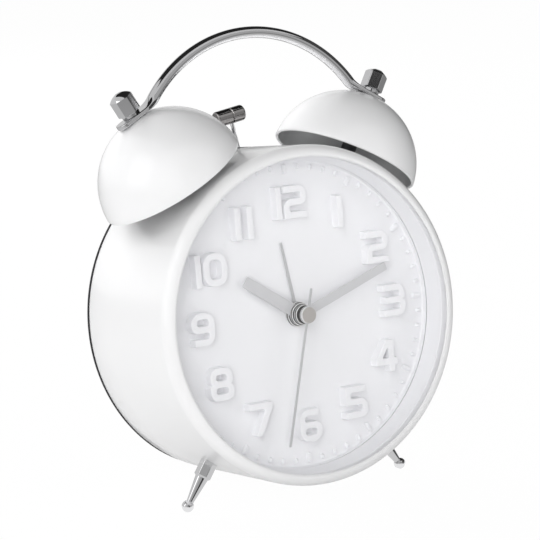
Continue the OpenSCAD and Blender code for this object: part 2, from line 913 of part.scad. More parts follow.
module alarm_set_knob() {
  color(black) leaned() setting_knob(alarm_at);
}

// Front plate of the movement, with bearings and the pillars that carry the bridge
module movement_front() {
  color("white") leaned() difference() {
    union() {
      facing(housing_y, housing_wall)
        square([movement_w, movement_h], center = true);
      for (x = [-1, 1], z = [-1, 1])
        rod_y([x * pillar_at[0], z * pillar_at[1]], housing_y + weld, bridge_y - seat, pillar_r);
    }
    rod_y([0, 0], housing_y - weld, plate_back + weld, alarm_pipe_r + run_gap);
    for (at = [time_at, alarm_at])
      rod_y(at, housing_y - weld, plate_back + weld, set_r + run_gap);
  }
}

// Rear shell of the movement, with ears that screw to the dial's bosses
module movement_back() {
  color("white") leaned() difference() {
    union() {
      facing(plate_back + seat, housing_back - plate_back - seat)
        square([movement_w, movement_h], center = true);
      facing(ear_y, ear_t) {
        square([2 * ear_x, 2 * ear_r], center = true);
        for (side = [-1, 1]) translate([side * ear_x, 0]) circle(ear_r);
      }
    }
    facing(plate_back - weld, housing_back - housing_wall - plate_back + weld)
      square([movement_w - 2 * housing_wall, movement_h - 2 * housing_wall], center = true);
    for (at = [time_at, alarm_at])
      rod_y(at, housing_back - through, housing_back + weld, set_r + run_gap);
    for (side = [-1, 1]) {
      rod_y([side * ear_x, 0], ear_y - weld, ear_y + ear_t + weld, small_screw_r + run_gap);
      bracket_hole(side, small_screw_r + grip_gap);
    }
  }
}

// Hole or shank of a bracket screw, straight down into the movement's top
module bracket_hole(side, r, len = small_screw_len) {
  translate([side * bracket_screw_x, bracket_screw_y, bracket_z + bracket_t + weld - len])
    cylinder(len, r, r);
}

// Bridge over the train, with the studs that carry the motion and third wheels
module train_bridge() {
  inside = [movement_w, movement_h] - 2 * (housing_wall + drop_gap) * [1, 1];
  plate_h = 0.75 * movement_h - 2 * (housing_wall + drop_gap);
  color("white") leaned() difference() {
    union() {
      facing(bridge_y, bridge_t)
        translate([-inside[0] / 2, inside[1] / 2 - plate_h]) square([inside[0], plate_h]);
      facing(bridge_y, bridge_t)
        for (side = [-1, 1])
          translate([side * pillar_at[0] - pillar_inset / 2, -inside[1] / 2])
            square([pillar_inset, inside[1] / 2]);
      rod_y(motion_at, hour_layer, bridge_y + weld, stud_r);
      rod_y(third_at, centre_layer, bridge_y + weld, pivot_r);
    }
    rod_y([0, 0], bridge_y - weld, bridge_y + bridge_t + weld, arbor_r + run_gap);
    for (at = [time_at, alarm_at])
      rod_y(at, bridge_y - weld, bridge_y + bridge_t + weld, set_r + clear_gap);
  }
}

// Lamination of the motor under the bridge, with a window for the coil
module stepper_stator() {
  color(steel) leaned() facing(bridge_y - seat - stator_t, stator_t)
    translate([-stator_w, stator_z]) difference() {
      square([stator_w, leg_h + window_h + yoke_h + bridge_lap]);
      translate([stator_margin, leg_h]) square([stator_w - 2 * stator_margin, window_h]);
    }
}

// Bobbin with its winding, slipped over the stator's lower leg
module stepper_coil() {
  len = stator_w - 2 * stator_margin - 2 * drop_gap;
  color("peru") leaned()
    translate([-stator_w + stator_margin + drop_gap, bridge_y - seat - stator_t / 2,
               stator_z + leg_h / 2])
      rotate([0, 90, 0])
        difference() {
          union() {
            cylinder(len, winding_r, winding_r);
            for (x = [0, len - flange_t]) translate([0, 0, x]) cylinder(flange_t, flange_r, flange_r);
          }
          translate([0, 0, len / 2])
            cube([leg_h + 2 * run_gap, stator_t + 2 * run_gap, 2 * len], center = true);
        }
}

module circuit_board() {
  color("darkgreen") leaned() facing(board_y, board_t)
    translate([-board_w / 2, board_low]) square([board_w, movement_h / 2 - board_low - board_margin]);
}

// Crystal can lying on the board
module quartz_crystal() {
  color(chrome) leaned()
    translate([crystal_x, board_y - seat - crystal_r, movement_h / 2 - board_low - board_margin])
      rotate([0, 90, 0])
        cylinder(crystal_len, crystal_r, crystal_r);
}

// Pan-head screw along the drum's axis, driven from the back
module pan_screw(at, y, r, len, head_r, head_h) {
  difference() {
    union() {
      rod_y(at, y - len, y + weld, r);
      rod_y(at, y + seat, y + head_h, head_r);
    }
    facing(y + head_h / 2, head_h)
      translate(at) {
        square([1.5 * head_r, head_h / 3], center = true);
        square([head_h / 3, 1.5 * head_r], center = true);
      }
  }
}

module movement_screws() {
  color(steel) leaned()
    for (side = [-1, 1])
      pan_screw([side * ear_x, 0], ear_y + ear_t, small_screw_r, small_screw_len - weld, small_head_r,
                small_head_h);
}

// Bell: a cap of a ball with a hole in its crown
module bell(side) {
  at_bell(side) difference() {
    rotate_extrude() intersection() {
      translate([0, bell_h - bell_ball]) difference() {
        circle(bell_ball, $fn = 120);
        circle(bell_ball - bell_wall, $fn = 120);
      }
      square([bell_ball + root, bell_h + root]);
    }
    translate([0, 0, bell_h - through])
      cylinder(2 * through, thread_r + run_gap, thread_r + run_gap);
  }
}

module bell_left() {
  color(lacquer) leaned() bell(-1);
}

module bell_right() {
  color(lacquer) leaned() bell(1);
}

// Stud with a thick middle that stands on the drum and carries the bell's crown
module bell_post(side) {
  inner = bell_ball - bell_wall;
  shoulder = bell_h - bell_ball + sqrt(inner * inner - post_r * post_r) - grip_gap;
  foot = post_foot - inner_nut_t - nut_drop - stud_end;
  at_bell(side) translate([0, 0, foot]) cylinder(nut_seat + nut_h / 2 - foot, thread_r, thread_r);
  difference() {
    at_bell(side) translate([0, 0, post_foot - root])
      cylinder(shoulder - post_foot + root, post_r, post_r);
    rod_y([0, 0], -through, drum_len, drum_r + grip_gap);
  }
}

module bell_post_left() {
  color(steel) leaned() bell_post(-1);
}

module bell_post_right() {
  color(steel) leaned() bell_post(1);
}

// Nuts inside the drum that hold the studs
module bell_post_nuts() {
  color(steel) leaned()
    for (side = [-1, 1])
      at_bell(side)
        hex_nut(post_foot - nut_drop - inner_nut_t, inner_nut_r, inner_nut_t, thread_r + grip_gap);
}

// Acorn nut: a round neck, a hex body and a domed end, with a blind hole
module bell_nut(side) {
  at_bell(side) translate([0, 0, nut_seat]) difference() {
    union() {
      cylinder(nut_neck + weld, neck_share * nut_r, neck_share * nut_r);
      translate([0, 0, nut_neck]) intersection() {
        cylinder(nut_h, nut_r, nut_r, $fn = 6);
        union() {
          cylinder(nut_h - nut_neck - nut_dome, nut_r, nut_r);
          translate([0, 0, nut_h - nut_neck - nut_dome]) sphere(nut_dome);
        }
      }
    }
    translate([0, 0, -weld])
      cylinder(nut_h / 2 + 2 * weld, thread_r + grip_gap, thread_r + grip_gap);
  }
}

module bell_nut_left() {
  color(chrome) leaned() bell_nut(-1);
}

module bell_nut_right() {
  color(chrome) leaned() bell_nut(1);
}

// Bent rod with flattened, drilled ends on the bells' crowns
module handle() {
  color(chrome) leaned() {
    translate([0, bell_y, arc_z])
      rotate([90, 0, 0])
        rotate([0, 0, 90 - arc_half])
          rotate_extrude(angle = 2 * arc_half)
            translate([arc_r, 0]) circle(rod_r);
    for (side = [-1, 1]) {
      translate([side * tab_end[0], bell_y, tab_end[1]]) sphere(rod_r + knuckle);
      at_bell(side) translate([0, 0, bell_h + grip_gap]) linear_extrude(tab_t - grip_gap)
        difference() {
          union() {
            circle(tab_r);
            translate([side * tab_over, 0]) circle(tab_r);
            translate([side * tab_over / 2, 0]) square([tab_over, 2 * tab_r], center = true);
            translate([-side * tab_len / 2, 0]) square([tab_len, 2 * rod_r], center = true);
          }
          circle(thread_r + run_gap);
        }
    }
  }
}

// Foot: hex collar, tapered shank and ball, with a thread into the drum
module foot(side) {
  tip = drum_r + foot_len;
  difference() {
    at_foot(side) {
      translate([0, 0, drum_r - root]) cylinder(collar_len + root, collar_r, collar_r, $fn = 6);
      translate([0, 0, drum_r + collar_len - weld])
        cylinder(foot_len - collar_len + weld, shank_r, ankle_r);
      translate([0, 0, tip]) sphere(ball_r);
    }
    rod_y([0, 0], -through, drum_len, drum_r + grip_gap);
  }
  at_foot(side) translate([0, 0, drum_r - inner_nut_t - nut_drop - stud_end])
    cylinder(inner_nut_t + nut_drop + stud_end + root, thread_r, thread_r);
}

module foot_left() {
  color(chrome) leaned() foot(-1);
}

module foot_right() {
  color(chrome) leaned() foot(1);
}

module foot_nuts() {
  color(steel) leaned()
    for (side = [-1, 1])
      at_foot(side)
        hex_nut(drum_r - nut_drop - inner_nut_t, inner_nut_r, inner_nut_t, thread_r + grip_gap);
}

// Cylinder across the end of the wire, with a groove where the wire joins
module hammer_head() {
  round_end = 0.5;
  groove = 0.35;
  color(chrome) leaned() at_hammer() translate([0, 0, hammer_len]) difference() {
    rotate([0, 90, 0]) rotate_extrude() {
      translate([0, -head_left]) square([head_r - round_end, head_left + head_right]);
      translate([0, round_end - head_left])
        square([head_r, head_left - round_end - groove]);
      translate([0, groove]) square([head_r, head_right - round_end - groove]);
      translate([0, round_end - head_left])
        square([head_r - groove, head_left + head_right - 2 * round_end]);
      for (x = [round_end - head_left, head_right - round_end])
        translate([head_r - round_end, x]) circle(round_end);
    }
    translate([0, 0, -head_r - root]) cylinder(head_r + root, wire_r + grip_gap, wire_r + grip_gap);
  }
}

module hammer_wire() {
  color(chrome) leaned() at_hammer()
    translate([0, 0, wire_seat]) cylinder(hammer_len - wire_seat - seat, wire_r, wire_r);
}

// Lever on the pivot: a hub, a stem for the wire and a tail for the magnet
module hammer_lever() {
  color(black) leaned() at_hammer() difference() {
    union() {
      rod_y([0, 0], -lever_t / 2, lever_t / 2, lever_hub_r);
      cylinder(stem_len, stem_r, stem_r);
      translate([-tail_w / 2, -lever_t / 2, -tail_len]) cube([tail_w, lever_t, tail_len]);
      rod_y([0, -tail_len], -lever_t / 2, lever_t / 2, socket_r);
    }
    rod_y([0, 0], -lever_t, lever_t, pin_r + run_gap);
    translate([0, 0, wire_seat]) cylinder(stem_len, wire_r + grip_gap, wire_r + grip_gap);
    rod_y([0, -tail_len], lever_t / 2 - magnet_t, lever_t, magnet_r + grip_gap);
  }
}

// Disc magnet pressed into the tail, facing the coil
module hammer_magnet() {
  color(steel) leaned() at_hammer()
    rod_y([0, -tail_len], lever_t / 2 - magnet_t + seat, lever_t / 2, magnet_r);
}

module hammer_pin() {
  color(steel) leaned()
    rod_y([0, pivot_z], cheek_front + seat, cheek_back + bracket_t - seat, pin_r);
}

// Bent bracket on top of the movement that holds the pin between two cheeks
module striker_bracket() {
  base_half = bracket_screw_x + bracket_margin;
  base_front = bracket_screw_y - bracket_margin;
  color(steel) leaned() difference() {
    union() {
      translate([-base_half, base_front, bracket_z])
        cube([2 * base_half, cheek_back + bracket_t - base_front, bracket_t]);
      for (y = [cheek_front, cheek_back])
        translate([-cheek_half, y, bracket_z])
          cube([2 * cheek_half, bracket_t, pivot_z + cheek_top - bracket_z]);
    }
    rod_y([0, pivot_z], cheek_front - weld, cheek_back + 2 * bracket_t, pin_r + grip_gap);
    for (side = [-1, 1]) bracket_hole(side, small_screw_r + run_gap);
  }
}

// Flat coil on the rear cheek, behind the magnet
module striker_coil() {
  color("peru") leaned()
    rod_y([0, pivot_z - tail_len], coil_y, coil_y + coil_t, coil_r, coil_bore);
}

module bracket_screws() {
  color(steel) leaned()
    for (side = [-1, 1]) {
      bracket_hole(side, small_screw_r, small_screw_len - weld);
      translate([side * bracket_screw_x, bracket_screw_y, bracket_z + bracket_t + seat])
        cylinder(small_head_h, small_head_r, small_head_r);
    }
}

// Black back cover with a collar inside the drum, a battery bay, and holes for the controls
module back_cover() {
  rim = drum_r - drop_gap;
  color(black) leaned() difference() {
    union() {
      turned() {
        translate([0, cover_y]) square([rim - cover_edge, cover_rim]);
        translate([0, cover_y]) square([rim, cover_rim - cover_edge]);
        translate([rim - cover_edge, cover_back - cover_edge]) circle(cover_edge);
        translate([0, cover_front]) square([insert_r, cover_t - cover_edge]);
        translate([insert_r - collar_wall, cover_y - collar_depth]) square([collar_wall, collar_depth]);
      }
      facing(bay_front, cover_front - bay_front + weld)
        translate([0, bay_z])
          square([2 * (bay_half + bay_wall), 2 * (bay_h + bay_wall)], center = true);
    }
    facing(bay_front + bay_wall, through + cell_d)
      translate([0, bay_z]) square([2 * bay_half, 2 * bay_h], center = true);
    facing(cover_back - door_t - drop_gap, door_t + drop_gap + weld)
      translate([-door_half - clear_gap, door_pin_z - door_swing])
        square([2 * (door_half + clear_gap), 2 * bay_h - door_pin_r + door_swing + door_lap]);
    translate([-door_half - door_pin_len - seat - drop_gap, cover_back - pin_back, door_pin_z])
      rotate([0, 90, 0])
        cylinder(2 * (door_half + door_pin_len + seat + drop_gap), door_pin_r + run_gap,
                 door_pin_r + run_gap);
    for (at = [time_at, alarm_at])
      rod_y(at, cover_front - weld, cover_back + weld, neck_r + clear_gap);
    for (a = boss_angles)
      rod_y(polar(boss_ring, a), cover_front - weld, cover_back + weld, screw_r + drop_gap);
    facing(cover_front - weld, cover_t + 2 * weld)
      translate([switch_x - switch_stem_r - clear_gap, switch_z - switch_stem_r - clear_gap])
        square([switch_travel + 2 * (switch_stem_r + clear_gap), 2 * (switch_stem_r + clear_gap)]);
  }
}

module back_screws() {
  color(steel) leaned()
    for (a = boss_angles)
      pan_screw(polar(boss_ring, a), cover_back, screw_r, screw_len - root, screw_head_r,
                screw_head_h);
}

// Slide switch: a ribbed cap outside, a foot inside and a stem to the movement
module alarm_switch() {
  color(satin) leaned() {
    facing(cover_back + clear_gap, switch_cap)
      translate([switch_x, switch_z]) difference() {
        square([switch_w, switch_h], center = true);
        for (x = [-2, 2]) translate([x * switch_rib, 0]) square([switch_rib, switch_h + weld], center = true);
      }
    facing(cover_back + clear_gap, switch_cap / 2)
      translate([switch_x, switch_z]) square([switch_w, switch_h], center = true);
    rod_y([switch_x, switch_z], housing_back + clear_gap, cover_back + clear_gap + weld, switch_stem_r);
    facing(cover_front - clear_gap - switch_foot, switch_foot)
      translate([switch_x, switch_z]) square([switch_w, switch_h], center = true);
  }
}

// Door over the battery, on two pins at its lower edge
module battery_door() {
  high = bay_z + bay_h + door_lap - clear_gap;
  color(black) leaned() {
    difference() {
      facing(cover_back - door_t, door_t)
        translate([-door_half, door_low]) square([2 * door_half, high - door_low]);
      rod_y([0, high + notch_r / 2], cover_back - door_t / 2, cover_back + weld, notch_r);
    }
    translate([-door_half - door_pin_len, cover_back - pin_back, door_pin_z])
      rotate([0, 90, 0])
        cylinder(2 * (door_half + door_pin_len), door_pin_r, door_pin_r);
  }
}

// Battery: a can with its nub to the right
module battery_cell() {
  color(steel) leaned()
    translate([-cell_len / 2, cell_y, bay_z])
      rotate([0, 90, 0]) {
        cylinder(cell_len - nub_h, cell_d / 2, cell_d / 2);
        cylinder(cell_len, nub_r, nub_r);
      }
}

// Contact plate on an end wall of the bay, with a raised middle towards the cell
module battery_contact(side, r) {
  translate([side * (bay_half - seat), cell_y, bay_z])
    rotate([0, -side * 90, 0]) {
      translate([-cell_d / 3, -cell_d / 3, 0]) cube([2 * cell_d / 3, 2 * cell_d / 3, contact_t]);
      cylinder(contact_t + contact_h - seat, r[0], r[1]);
    }
}

module battery_contact_plus() {
  color(chrome) leaned() battery_contact(1, plus_r);
}

module battery_contact_minus() {
  color(chrome) leaned() battery_contact(-1, minus_r);
}

drum_case();
lens();
spacer_ring();
dial();
hour_numerals();
alarm_hand();
hour_hand();
minute_hand();
second_hand();
alarm_hub();
hour_hub();
minute_hub();
second_hub();
second_cap();
second_arbor();
minute_pipe();
hour_pipe();
alarm_pipe();
motion_wheel();
third_wheel();
time_set_shaft();
alarm_set_shaft();
time_set_knob();
alarm_set_knob();
movement_front();
movement_back();
train_bridge();
stepper_coil();
stepper_stator();
circuit_board();
quartz_crystal();
movement_screws();
bell_left();
bell_right();
bell_post_left();
bell_post_right();
bell_post_nuts();
bell_nut_left();
bell_nut_right();
handle();
foot_left();
foot_right();
foot_nuts();
hammer_head();
hammer_wire();
hammer_lever();
hammer_magnet();
hammer_pin();
striker_bracket();
striker_coil();
bracket_screws();
back_cover();
back_screws();
alarm_switch();
battery_door();
battery_cell();
battery_contact_plus();
battery_contact_minus();
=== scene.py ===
"""Looks of a white twin-bell alarm clock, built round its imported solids.

Shapes are worked out in the clock's own frame, in metres: X to the right seen from the front, Y
along the drum's axis from the front lip to the back, and Z up. place() then leans them back as the
packed drum leans.
"""

import json
import math

import bmesh
import bpy
import numpy as np
from bpy.props import FloatProperty, FloatVectorProperty, PointerProperty
from mathutils import Matrix
from mathutils.geometry import tessellate_polygon


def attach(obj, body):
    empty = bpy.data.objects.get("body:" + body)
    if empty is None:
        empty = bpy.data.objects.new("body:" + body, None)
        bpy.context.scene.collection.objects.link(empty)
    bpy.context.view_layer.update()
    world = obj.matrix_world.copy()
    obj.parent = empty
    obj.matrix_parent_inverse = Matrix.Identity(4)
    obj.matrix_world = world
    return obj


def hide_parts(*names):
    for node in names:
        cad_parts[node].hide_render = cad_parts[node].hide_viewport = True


bl_info = {
    "name": "Twin-bell alarm clock",
    "version": (1, 0, 0),
    "blender": (4, 5, 0),
    "location": "View3D > Sidebar > Clock",
    "description": "Dresses the packed solids of a twin-bell alarm clock and sets its stage",
    "category": "Add Mesh",
}

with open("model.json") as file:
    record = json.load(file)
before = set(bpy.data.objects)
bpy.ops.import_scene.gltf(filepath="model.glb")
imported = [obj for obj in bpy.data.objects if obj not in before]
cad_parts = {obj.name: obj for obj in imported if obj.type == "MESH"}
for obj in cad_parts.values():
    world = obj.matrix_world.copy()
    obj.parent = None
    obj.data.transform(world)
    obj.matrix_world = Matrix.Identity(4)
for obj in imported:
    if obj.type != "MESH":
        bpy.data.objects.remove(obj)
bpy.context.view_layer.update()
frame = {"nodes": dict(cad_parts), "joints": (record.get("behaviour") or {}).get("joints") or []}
MM = 0.001
WELD = 2e-7
NEAR = 0.01 * MM
BACK, UP = (0.0, 1.0, 0.0), (0.0, 0.0, 1.0)
WHITE = (1.0, 1.0, 1.0, 1.0)
SIDES = {-1: "left", 1: "right"}
JOINTS = {joint["name"]: joint for joint in frame["joints"]}

# The clock's own frame, read from the joint that turns the minute hand
AXIS = np.array(JOINTS["minute_turn"]["axis"], float)
CENTRE = np.array(JOINTS["minute_turn"]["pos_m"], float)
TILT = np.array([[1, 0, 0], [0, AXIS[1], -AXIS[2]], [0, AXIS[2], AXIS[1]]])
LEAN = math.atan2(-AXIS[2], AXIS[1])


def packed(node):
    """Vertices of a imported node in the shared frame."""
    mesh = frame["nodes"][node].data
    flat = np.empty(3 * len(mesh.vertices))
    mesh.vertices.foreach_get("co", flat)
    return flat.reshape(-1, 3)


LIP = CENTRE + AXIS * ((packed("drum_case") - CENTRE) @ AXIS).min()


def own(points):
    """Points of the shared frame in the clock's own frame."""
    return (np.asarray(points, float) - LIP) @ TILT


def place(points):
    """Points of the clock's own frame, leaned back into the shared frame."""
    return points @ TILT.T + LIP


def span(node):
    """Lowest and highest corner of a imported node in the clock's own frame."""
    points = own(packed(node))
    return points.min(0), points.max(0)


def off_axis(points):
    """Distances of points from the drum's axis."""
    return np.hypot(points[:, 0], points[:, 2])


def reach(node):
    """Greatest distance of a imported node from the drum's axis."""
    return float(off_axis(own(packed(node))).max())


def pointing(node):
    """Direction of a hand, clockwise from twelve, and its reach: both from its farthest corners."""
    flat = own(packed(node))[:, [0, 2]]
    far = np.hypot(*flat.T)
    corners = np.unique(np.round(flat[far > far.max() - NEAR], 6), axis=0)
    tip = corners.mean(0)
    return math.atan2(tip[0], tip[1]), float(np.hypot(*tip))


def dial_floor():
    """Depth of the dial's face, just behind the back of the numerals."""
    return span("hour_numerals")[1][1] + NEAR


def unit(vector):
    """Vectors of length one along the given ones."""
    vector = np.asarray(vector, float)
    return vector / np.linalg.norm(vector, axis=-1, keepdims=True)


def full_turn(steps):
    """Angles once round, without the last, which is the first again."""
    return np.linspace(0, 2 * np.pi, steps, endpoint=False)


def polar(angle):
    """Points on a circle of radius one: the cosine and sine of each angle."""
    return np.stack([np.cos(angle), np.sin(angle)], -1)


def spun(outline, turn):
    """Outline turned clockwise by an angle."""
    c, q = math.cos(turn), math.sin(turn)
    return outline @ np.array([[c, -q], [q, c]])


def eased(x):
    """Zero below 0, one above 1, and three x squared less two x cubed between."""
    x = np.clip(x, 0, 1)
    return x * x * (3 - 2 * x)


def seat(origin, axis, ahead=BACK):
    """Origin, two axes across and one along, as four rows."""
    along = unit(axis)
    across = unit(np.asarray(ahead, float) - np.dot(ahead, along) * along)
    return np.array([origin, across, np.cross(along, across), along])


DRUM = seat((0.0, 0.0, 0.0), BACK, UP)


def quads(rows, cols, loop_rows=False, loop_cols=True):
    """Faces of a grid of points; a looped direction joins its last line to its first."""
    i, j = np.meshgrid(
        np.arange(rows - (not loop_rows)), np.arange(cols - (not loop_cols)), indexing="ij"
    )
    down, right = (i + 1) % rows, (j + 1) % cols
    corners = [i * cols + j, down * cols + j, down * cols + right, i * cols + right]
    return np.stack(corners, -1).reshape(-1, 4)


def swept(ray, radius, height, where, loop=False):
    """Surface round the axis of a seat, from radius and height by row and ray (x, y).

    point = origin + radius (x across + y other) + height along
    """
    origin, across, other, along = where
    way = ray[:, :1] * across + ray[:, 1:] * other
    shape = len(radius), len(ray)
    out, up = (np.broadcast_to(row, shape)[..., None] for row in (radius, height))
    return (origin + out * way + up * along).reshape(-1, 3), quads(*shape, loop_rows=loop)


def turned(profile, where=DRUM, turns=128, loop=True):
    """Carries a profile of radius and height round an axis."""
    profile = np.asarray(profile, float)
    return swept(polar(full_turn(turns)), profile[:, :1], profile[:, 1:], where, loop)


def bands(profiles, numbers, where=DRUM, turns=96):
    """Shells of open profiles turned about one axis, each with its finish number."""
    return [(*turned(row, where, turns, False), k) for row, k in zip(profiles, numbers)]


def rounded(corners, steps=6, guard=0.0, closed=True):
    """Outline with each corner (a, b, r) replaced by an arc that touches both its edges.

    A guard adds a point on each edge just before and after an arc, which keeps flat faces flat.
    An open outline keeps its two ends as they are.
    """
    corners = np.asarray(corners, float)
    point, r = corners[:, :2], np.maximum(corners[:, 2:], 1e-6 * MM)
    back, ahead = (unit(np.roll(point, k, axis=0) - point) for k in (1, -1))
    half = np.arccos(np.clip((back * ahead).sum(1, keepdims=True), -1, 1)) / 2
    hub = point + unit(back + ahead) * r / np.sin(half)
    start, stop = (point + way * r / np.tan(half) for way in (back, ahead))
    side = np.sign(ahead[:, :1] * back[:, 1:] - ahead[:, 1:] * back[:, :1])
    turn = side * (np.pi - 2 * half) * np.linspace(0, 1, steps + 1)
    c, q, x, y = np.cos(turn), np.sin(turn), *np.split(start - hub, 2, axis=1)
    arc = hub[:, None] + np.stack([c * x - q * y, q * x + c * y], -1)
    if guard:
        before, after = start + back * guard, stop + ahead * guard
        arc = np.concatenate([before[:, None], arc, after[:, None]], axis=1)
    if closed:
        return arc.reshape(-1, 2)
    return np.concatenate([point[:1], arc[1:-1].reshape(-1, 2), point[-1:]])


def spindle(corners, where=DRUM, turns=128, steps=6, guard=0.0):
    """Solid turned from an open outline that starts and ends on the axis."""
    return turned(rounded(corners, steps, guard, closed=False), where, turns, loop=False)


def front_edge(outer, front, soft, steps):
    """Quarter circle that rounds a turned piece from its front to its side."""
    turn = np.linspace(0, np.pi / 2, steps)
    return (outer - soft, front + soft) + soft * polar(turn)[:, ::-1] * (1, -1)


def crest(inset, lift, soft, turn):
    """Part of a quarter circle that rounds a relief's front edge, as (inset, height)."""
    return (inset + soft, lift - soft) + soft * polar(turn) * (-1, 1)


def miter(outline):
    """Outward step at each point of an outline that shifts both its edges by one."""
    edge = unit(np.roll(outline, -1, axis=0) - outline)
    normal = np.stack([edge[:, 1], -edge[:, 0]], -1)
    before = np.roll(normal, 1, axis=0)
    return (before + normal) / (1 + (before * normal).sum(1, keepdims=True))


def relief(outlines, edge, floor):
    """Shells of an edge profile of (inset, height) carried round outlines seen from the front.

    Outer outlines run anticlockwise and holes clockwise; both ends are closed by flat faces.
    """
    edge = np.asarray(edge, float)
    grids = []
    for outline in outlines:
        flat = outline - miter(outline) * edge[:, 0, None, None]
        depth = np.broadcast_to(floor - edge[:, 1, None], flat.shape[:2])
        grids.append(np.stack([flat[..., 0], depth, flat[..., 1]], -1))
    shells = [(grid.reshape(-1, 3), quads(*grid.shape[:2])) for grid in grids]
    for row in (0, -1):
        rims = [grid[row] for grid in grids]
        flat = [(rim[:, [0, 2, 1]] * (1, 1, 0)).tolist() for rim in rims]
        shells.append((np.concatenate(rims), np.array(tessellate_polygon(flat))))
    return shells


def piece(name, shells, looks, body, slot, *nodes, crease=35.0):
    """Welds shells of points, faces and a number among the looks into one piece on a body."""
    points = [shell[0] for shell in shells]
    starts = np.cumsum([0] + [len(part) for part in points])
    faces = [face for shell, k in zip(shells, starts) for face in (shell[1] + k).tolist()]
    numbers = np.concatenate([np.full(len(shell[1]), (*shell, 0)[2]) for shell in shells])
    mesh = bpy.data.meshes.new(name)
    mesh.from_pydata(place(np.concatenate(points)), [], faces)
    mesh.polygons.foreach_set("material_index", numbers.tolist())
    for look in looks.split():
        mesh.materials.append(finish(look))
    solid = bmesh.new()
    solid.from_mesh(mesh)
    bmesh.ops.remove_doubles(solid, verts=solid.verts, dist=WELD)
    bmesh.ops.dissolve_degenerate(solid, edges=solid.edges, dist=WELD)
    bmesh.ops.recalc_face_normals(solid, faces=solid.faces)
    solid.to_mesh(mesh)
    solid.free()
    mesh.shade_smooth()
    mesh.set_sharp_from_angle(angle=math.radians(crease))
    made = bpy.data.objects.new(name, mesh)
    bpy.context.scene.collection.objects.link(made)
    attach(made, body)
    if nodes:
        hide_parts(*nodes)
    return made


def dress(look, *nodes):
    """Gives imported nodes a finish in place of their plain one."""
    for node in nodes:
        slots = frame["nodes"][node].data.materials
        slots.clear()
        slots.append(finish(look))


class Nodes:
    """Node tree of a material or world, emptied and filled anew."""

    def __init__(self, owner):
        owner.use_nodes = True
        self.tree = owner.node_tree
        self.tree.nodes.clear()

    def put(self, node, sockets):
        """Gives each socket a plain value, or a link where the value is another node's socket."""
        for key, value in sockets.items():
            if isinstance(value, bpy.types.NodeSocket):
                self.tree.links.new(value, node.inputs[key])
            else:
                node.inputs[key].default_value = value

    def add(self, kind, sockets, **values):
        """Adds a node with its values and sockets, and returns its outputs."""
        node = self.tree.nodes.new(f"ShaderNode{kind}")
        for key, value in values.items():
            setattr(node, key, value)
        self.put(node, sockets)
        return node.outputs

    def seen(self):
        """One where the ray comes from the camera, a mirror or clear glass."""
        path = self.add("LightPath", {})
        ray = path["Is Camera Ray"]
        for name in ("Is Glossy Ray", "Is Transmission Ray"):
            ray = self.add("Math", {0: ray, 1: path[name]}, operation="MAXIMUM")[0]
        return ray


class Finish(Nodes):
    """Principled material whose patterns lie in the clock's own frame, with lengths in mm."""

    def __init__(self, material, colour, rough, metallic=0.0, cloud=None, grain=None, sockets=()):
        super().__init__(material)
        spot = {"Rotation": (LEAN, 0.0, 0.0), "Location": tuple(-(LIP @ TILT))}
        spot["Vector"] = self.add("TexCoord", {})["Object"]
        self.where = self.add("Mapping", spot)["Vector"]
        *pattern, low, high = rough
        spread = {"From Min": 0.3, "From Max": 0.7, "To Min": low, "To Max": high}
        base = (*shade(colour), 1.0)
        shader = self.tree.nodes.new("ShaderNodeBsdfPrincipled")
        self.put(shader, {"Base Color": base, "Metallic": metallic, "Roughness": (low + high) / 2})
        self.put(shader, dict(sockets))
        spread["Value"] = self.noise(*pattern)
        self.put(shader, {"Roughness": self.add("MapRange", spread)["Result"]})
        if cloud:
            *pattern, second = cloud
            mix = {6: base, 7: (*shade(second), 1.0), "Factor": self.noise(*pattern)}
            self.put(shader, {"Base Color": self.add("Mix", mix, data_type="RGBA")[2]})
        if grain:
            depth, *pattern = grain
            raised = {"Distance": depth * MM, "Height": self.noise(*pattern)}
            self.put(shader, {"Normal": self.add("Bump", raised)["Normal"]})
        self.add("OutputMaterial", {"Surface": shader.outputs[0]})

    def noise(self, size, detail, stretch=(1.0, 1.0, 1.0)):
        """Clouds whose patches are about the given size, or turned rings where detail is None."""
        if detail is None:
            wave = {"Vector": self.where, "Scale": 1.0 / (20.0 * size * MM), "Distortion": 1.5}
            return self.add("TexWave", wave, wave_type="RINGS", rings_direction="Y")["Fac"]
        squeezed = self.add("VectorMath", {0: self.where, 1: stretch}, operation="MULTIPLY")
        cloud = {"Vector": squeezed["Vector"], "Scale": 1.0 / (size * MM), "Detail": detail}
        return self.add("TexNoise", cloud)["Fac"]


def shade(colour):
    """Plain colour, or a share of one on the panel given as its name and the share."""
    if not isinstance(colour[0], str):
        return colour
    name, share = colour
    return tuple(share * c for c in getattr(bpy.context.scene.clock_colours, name))


MADE = {}


def finish(name):
    """Material of a finish, made on first use."""
    if name not in MADE:
        MADE[name] = bpy.data.materials.new(name)
        Finish(MADE[name], **FINISHES[name])
    return MADE[name]


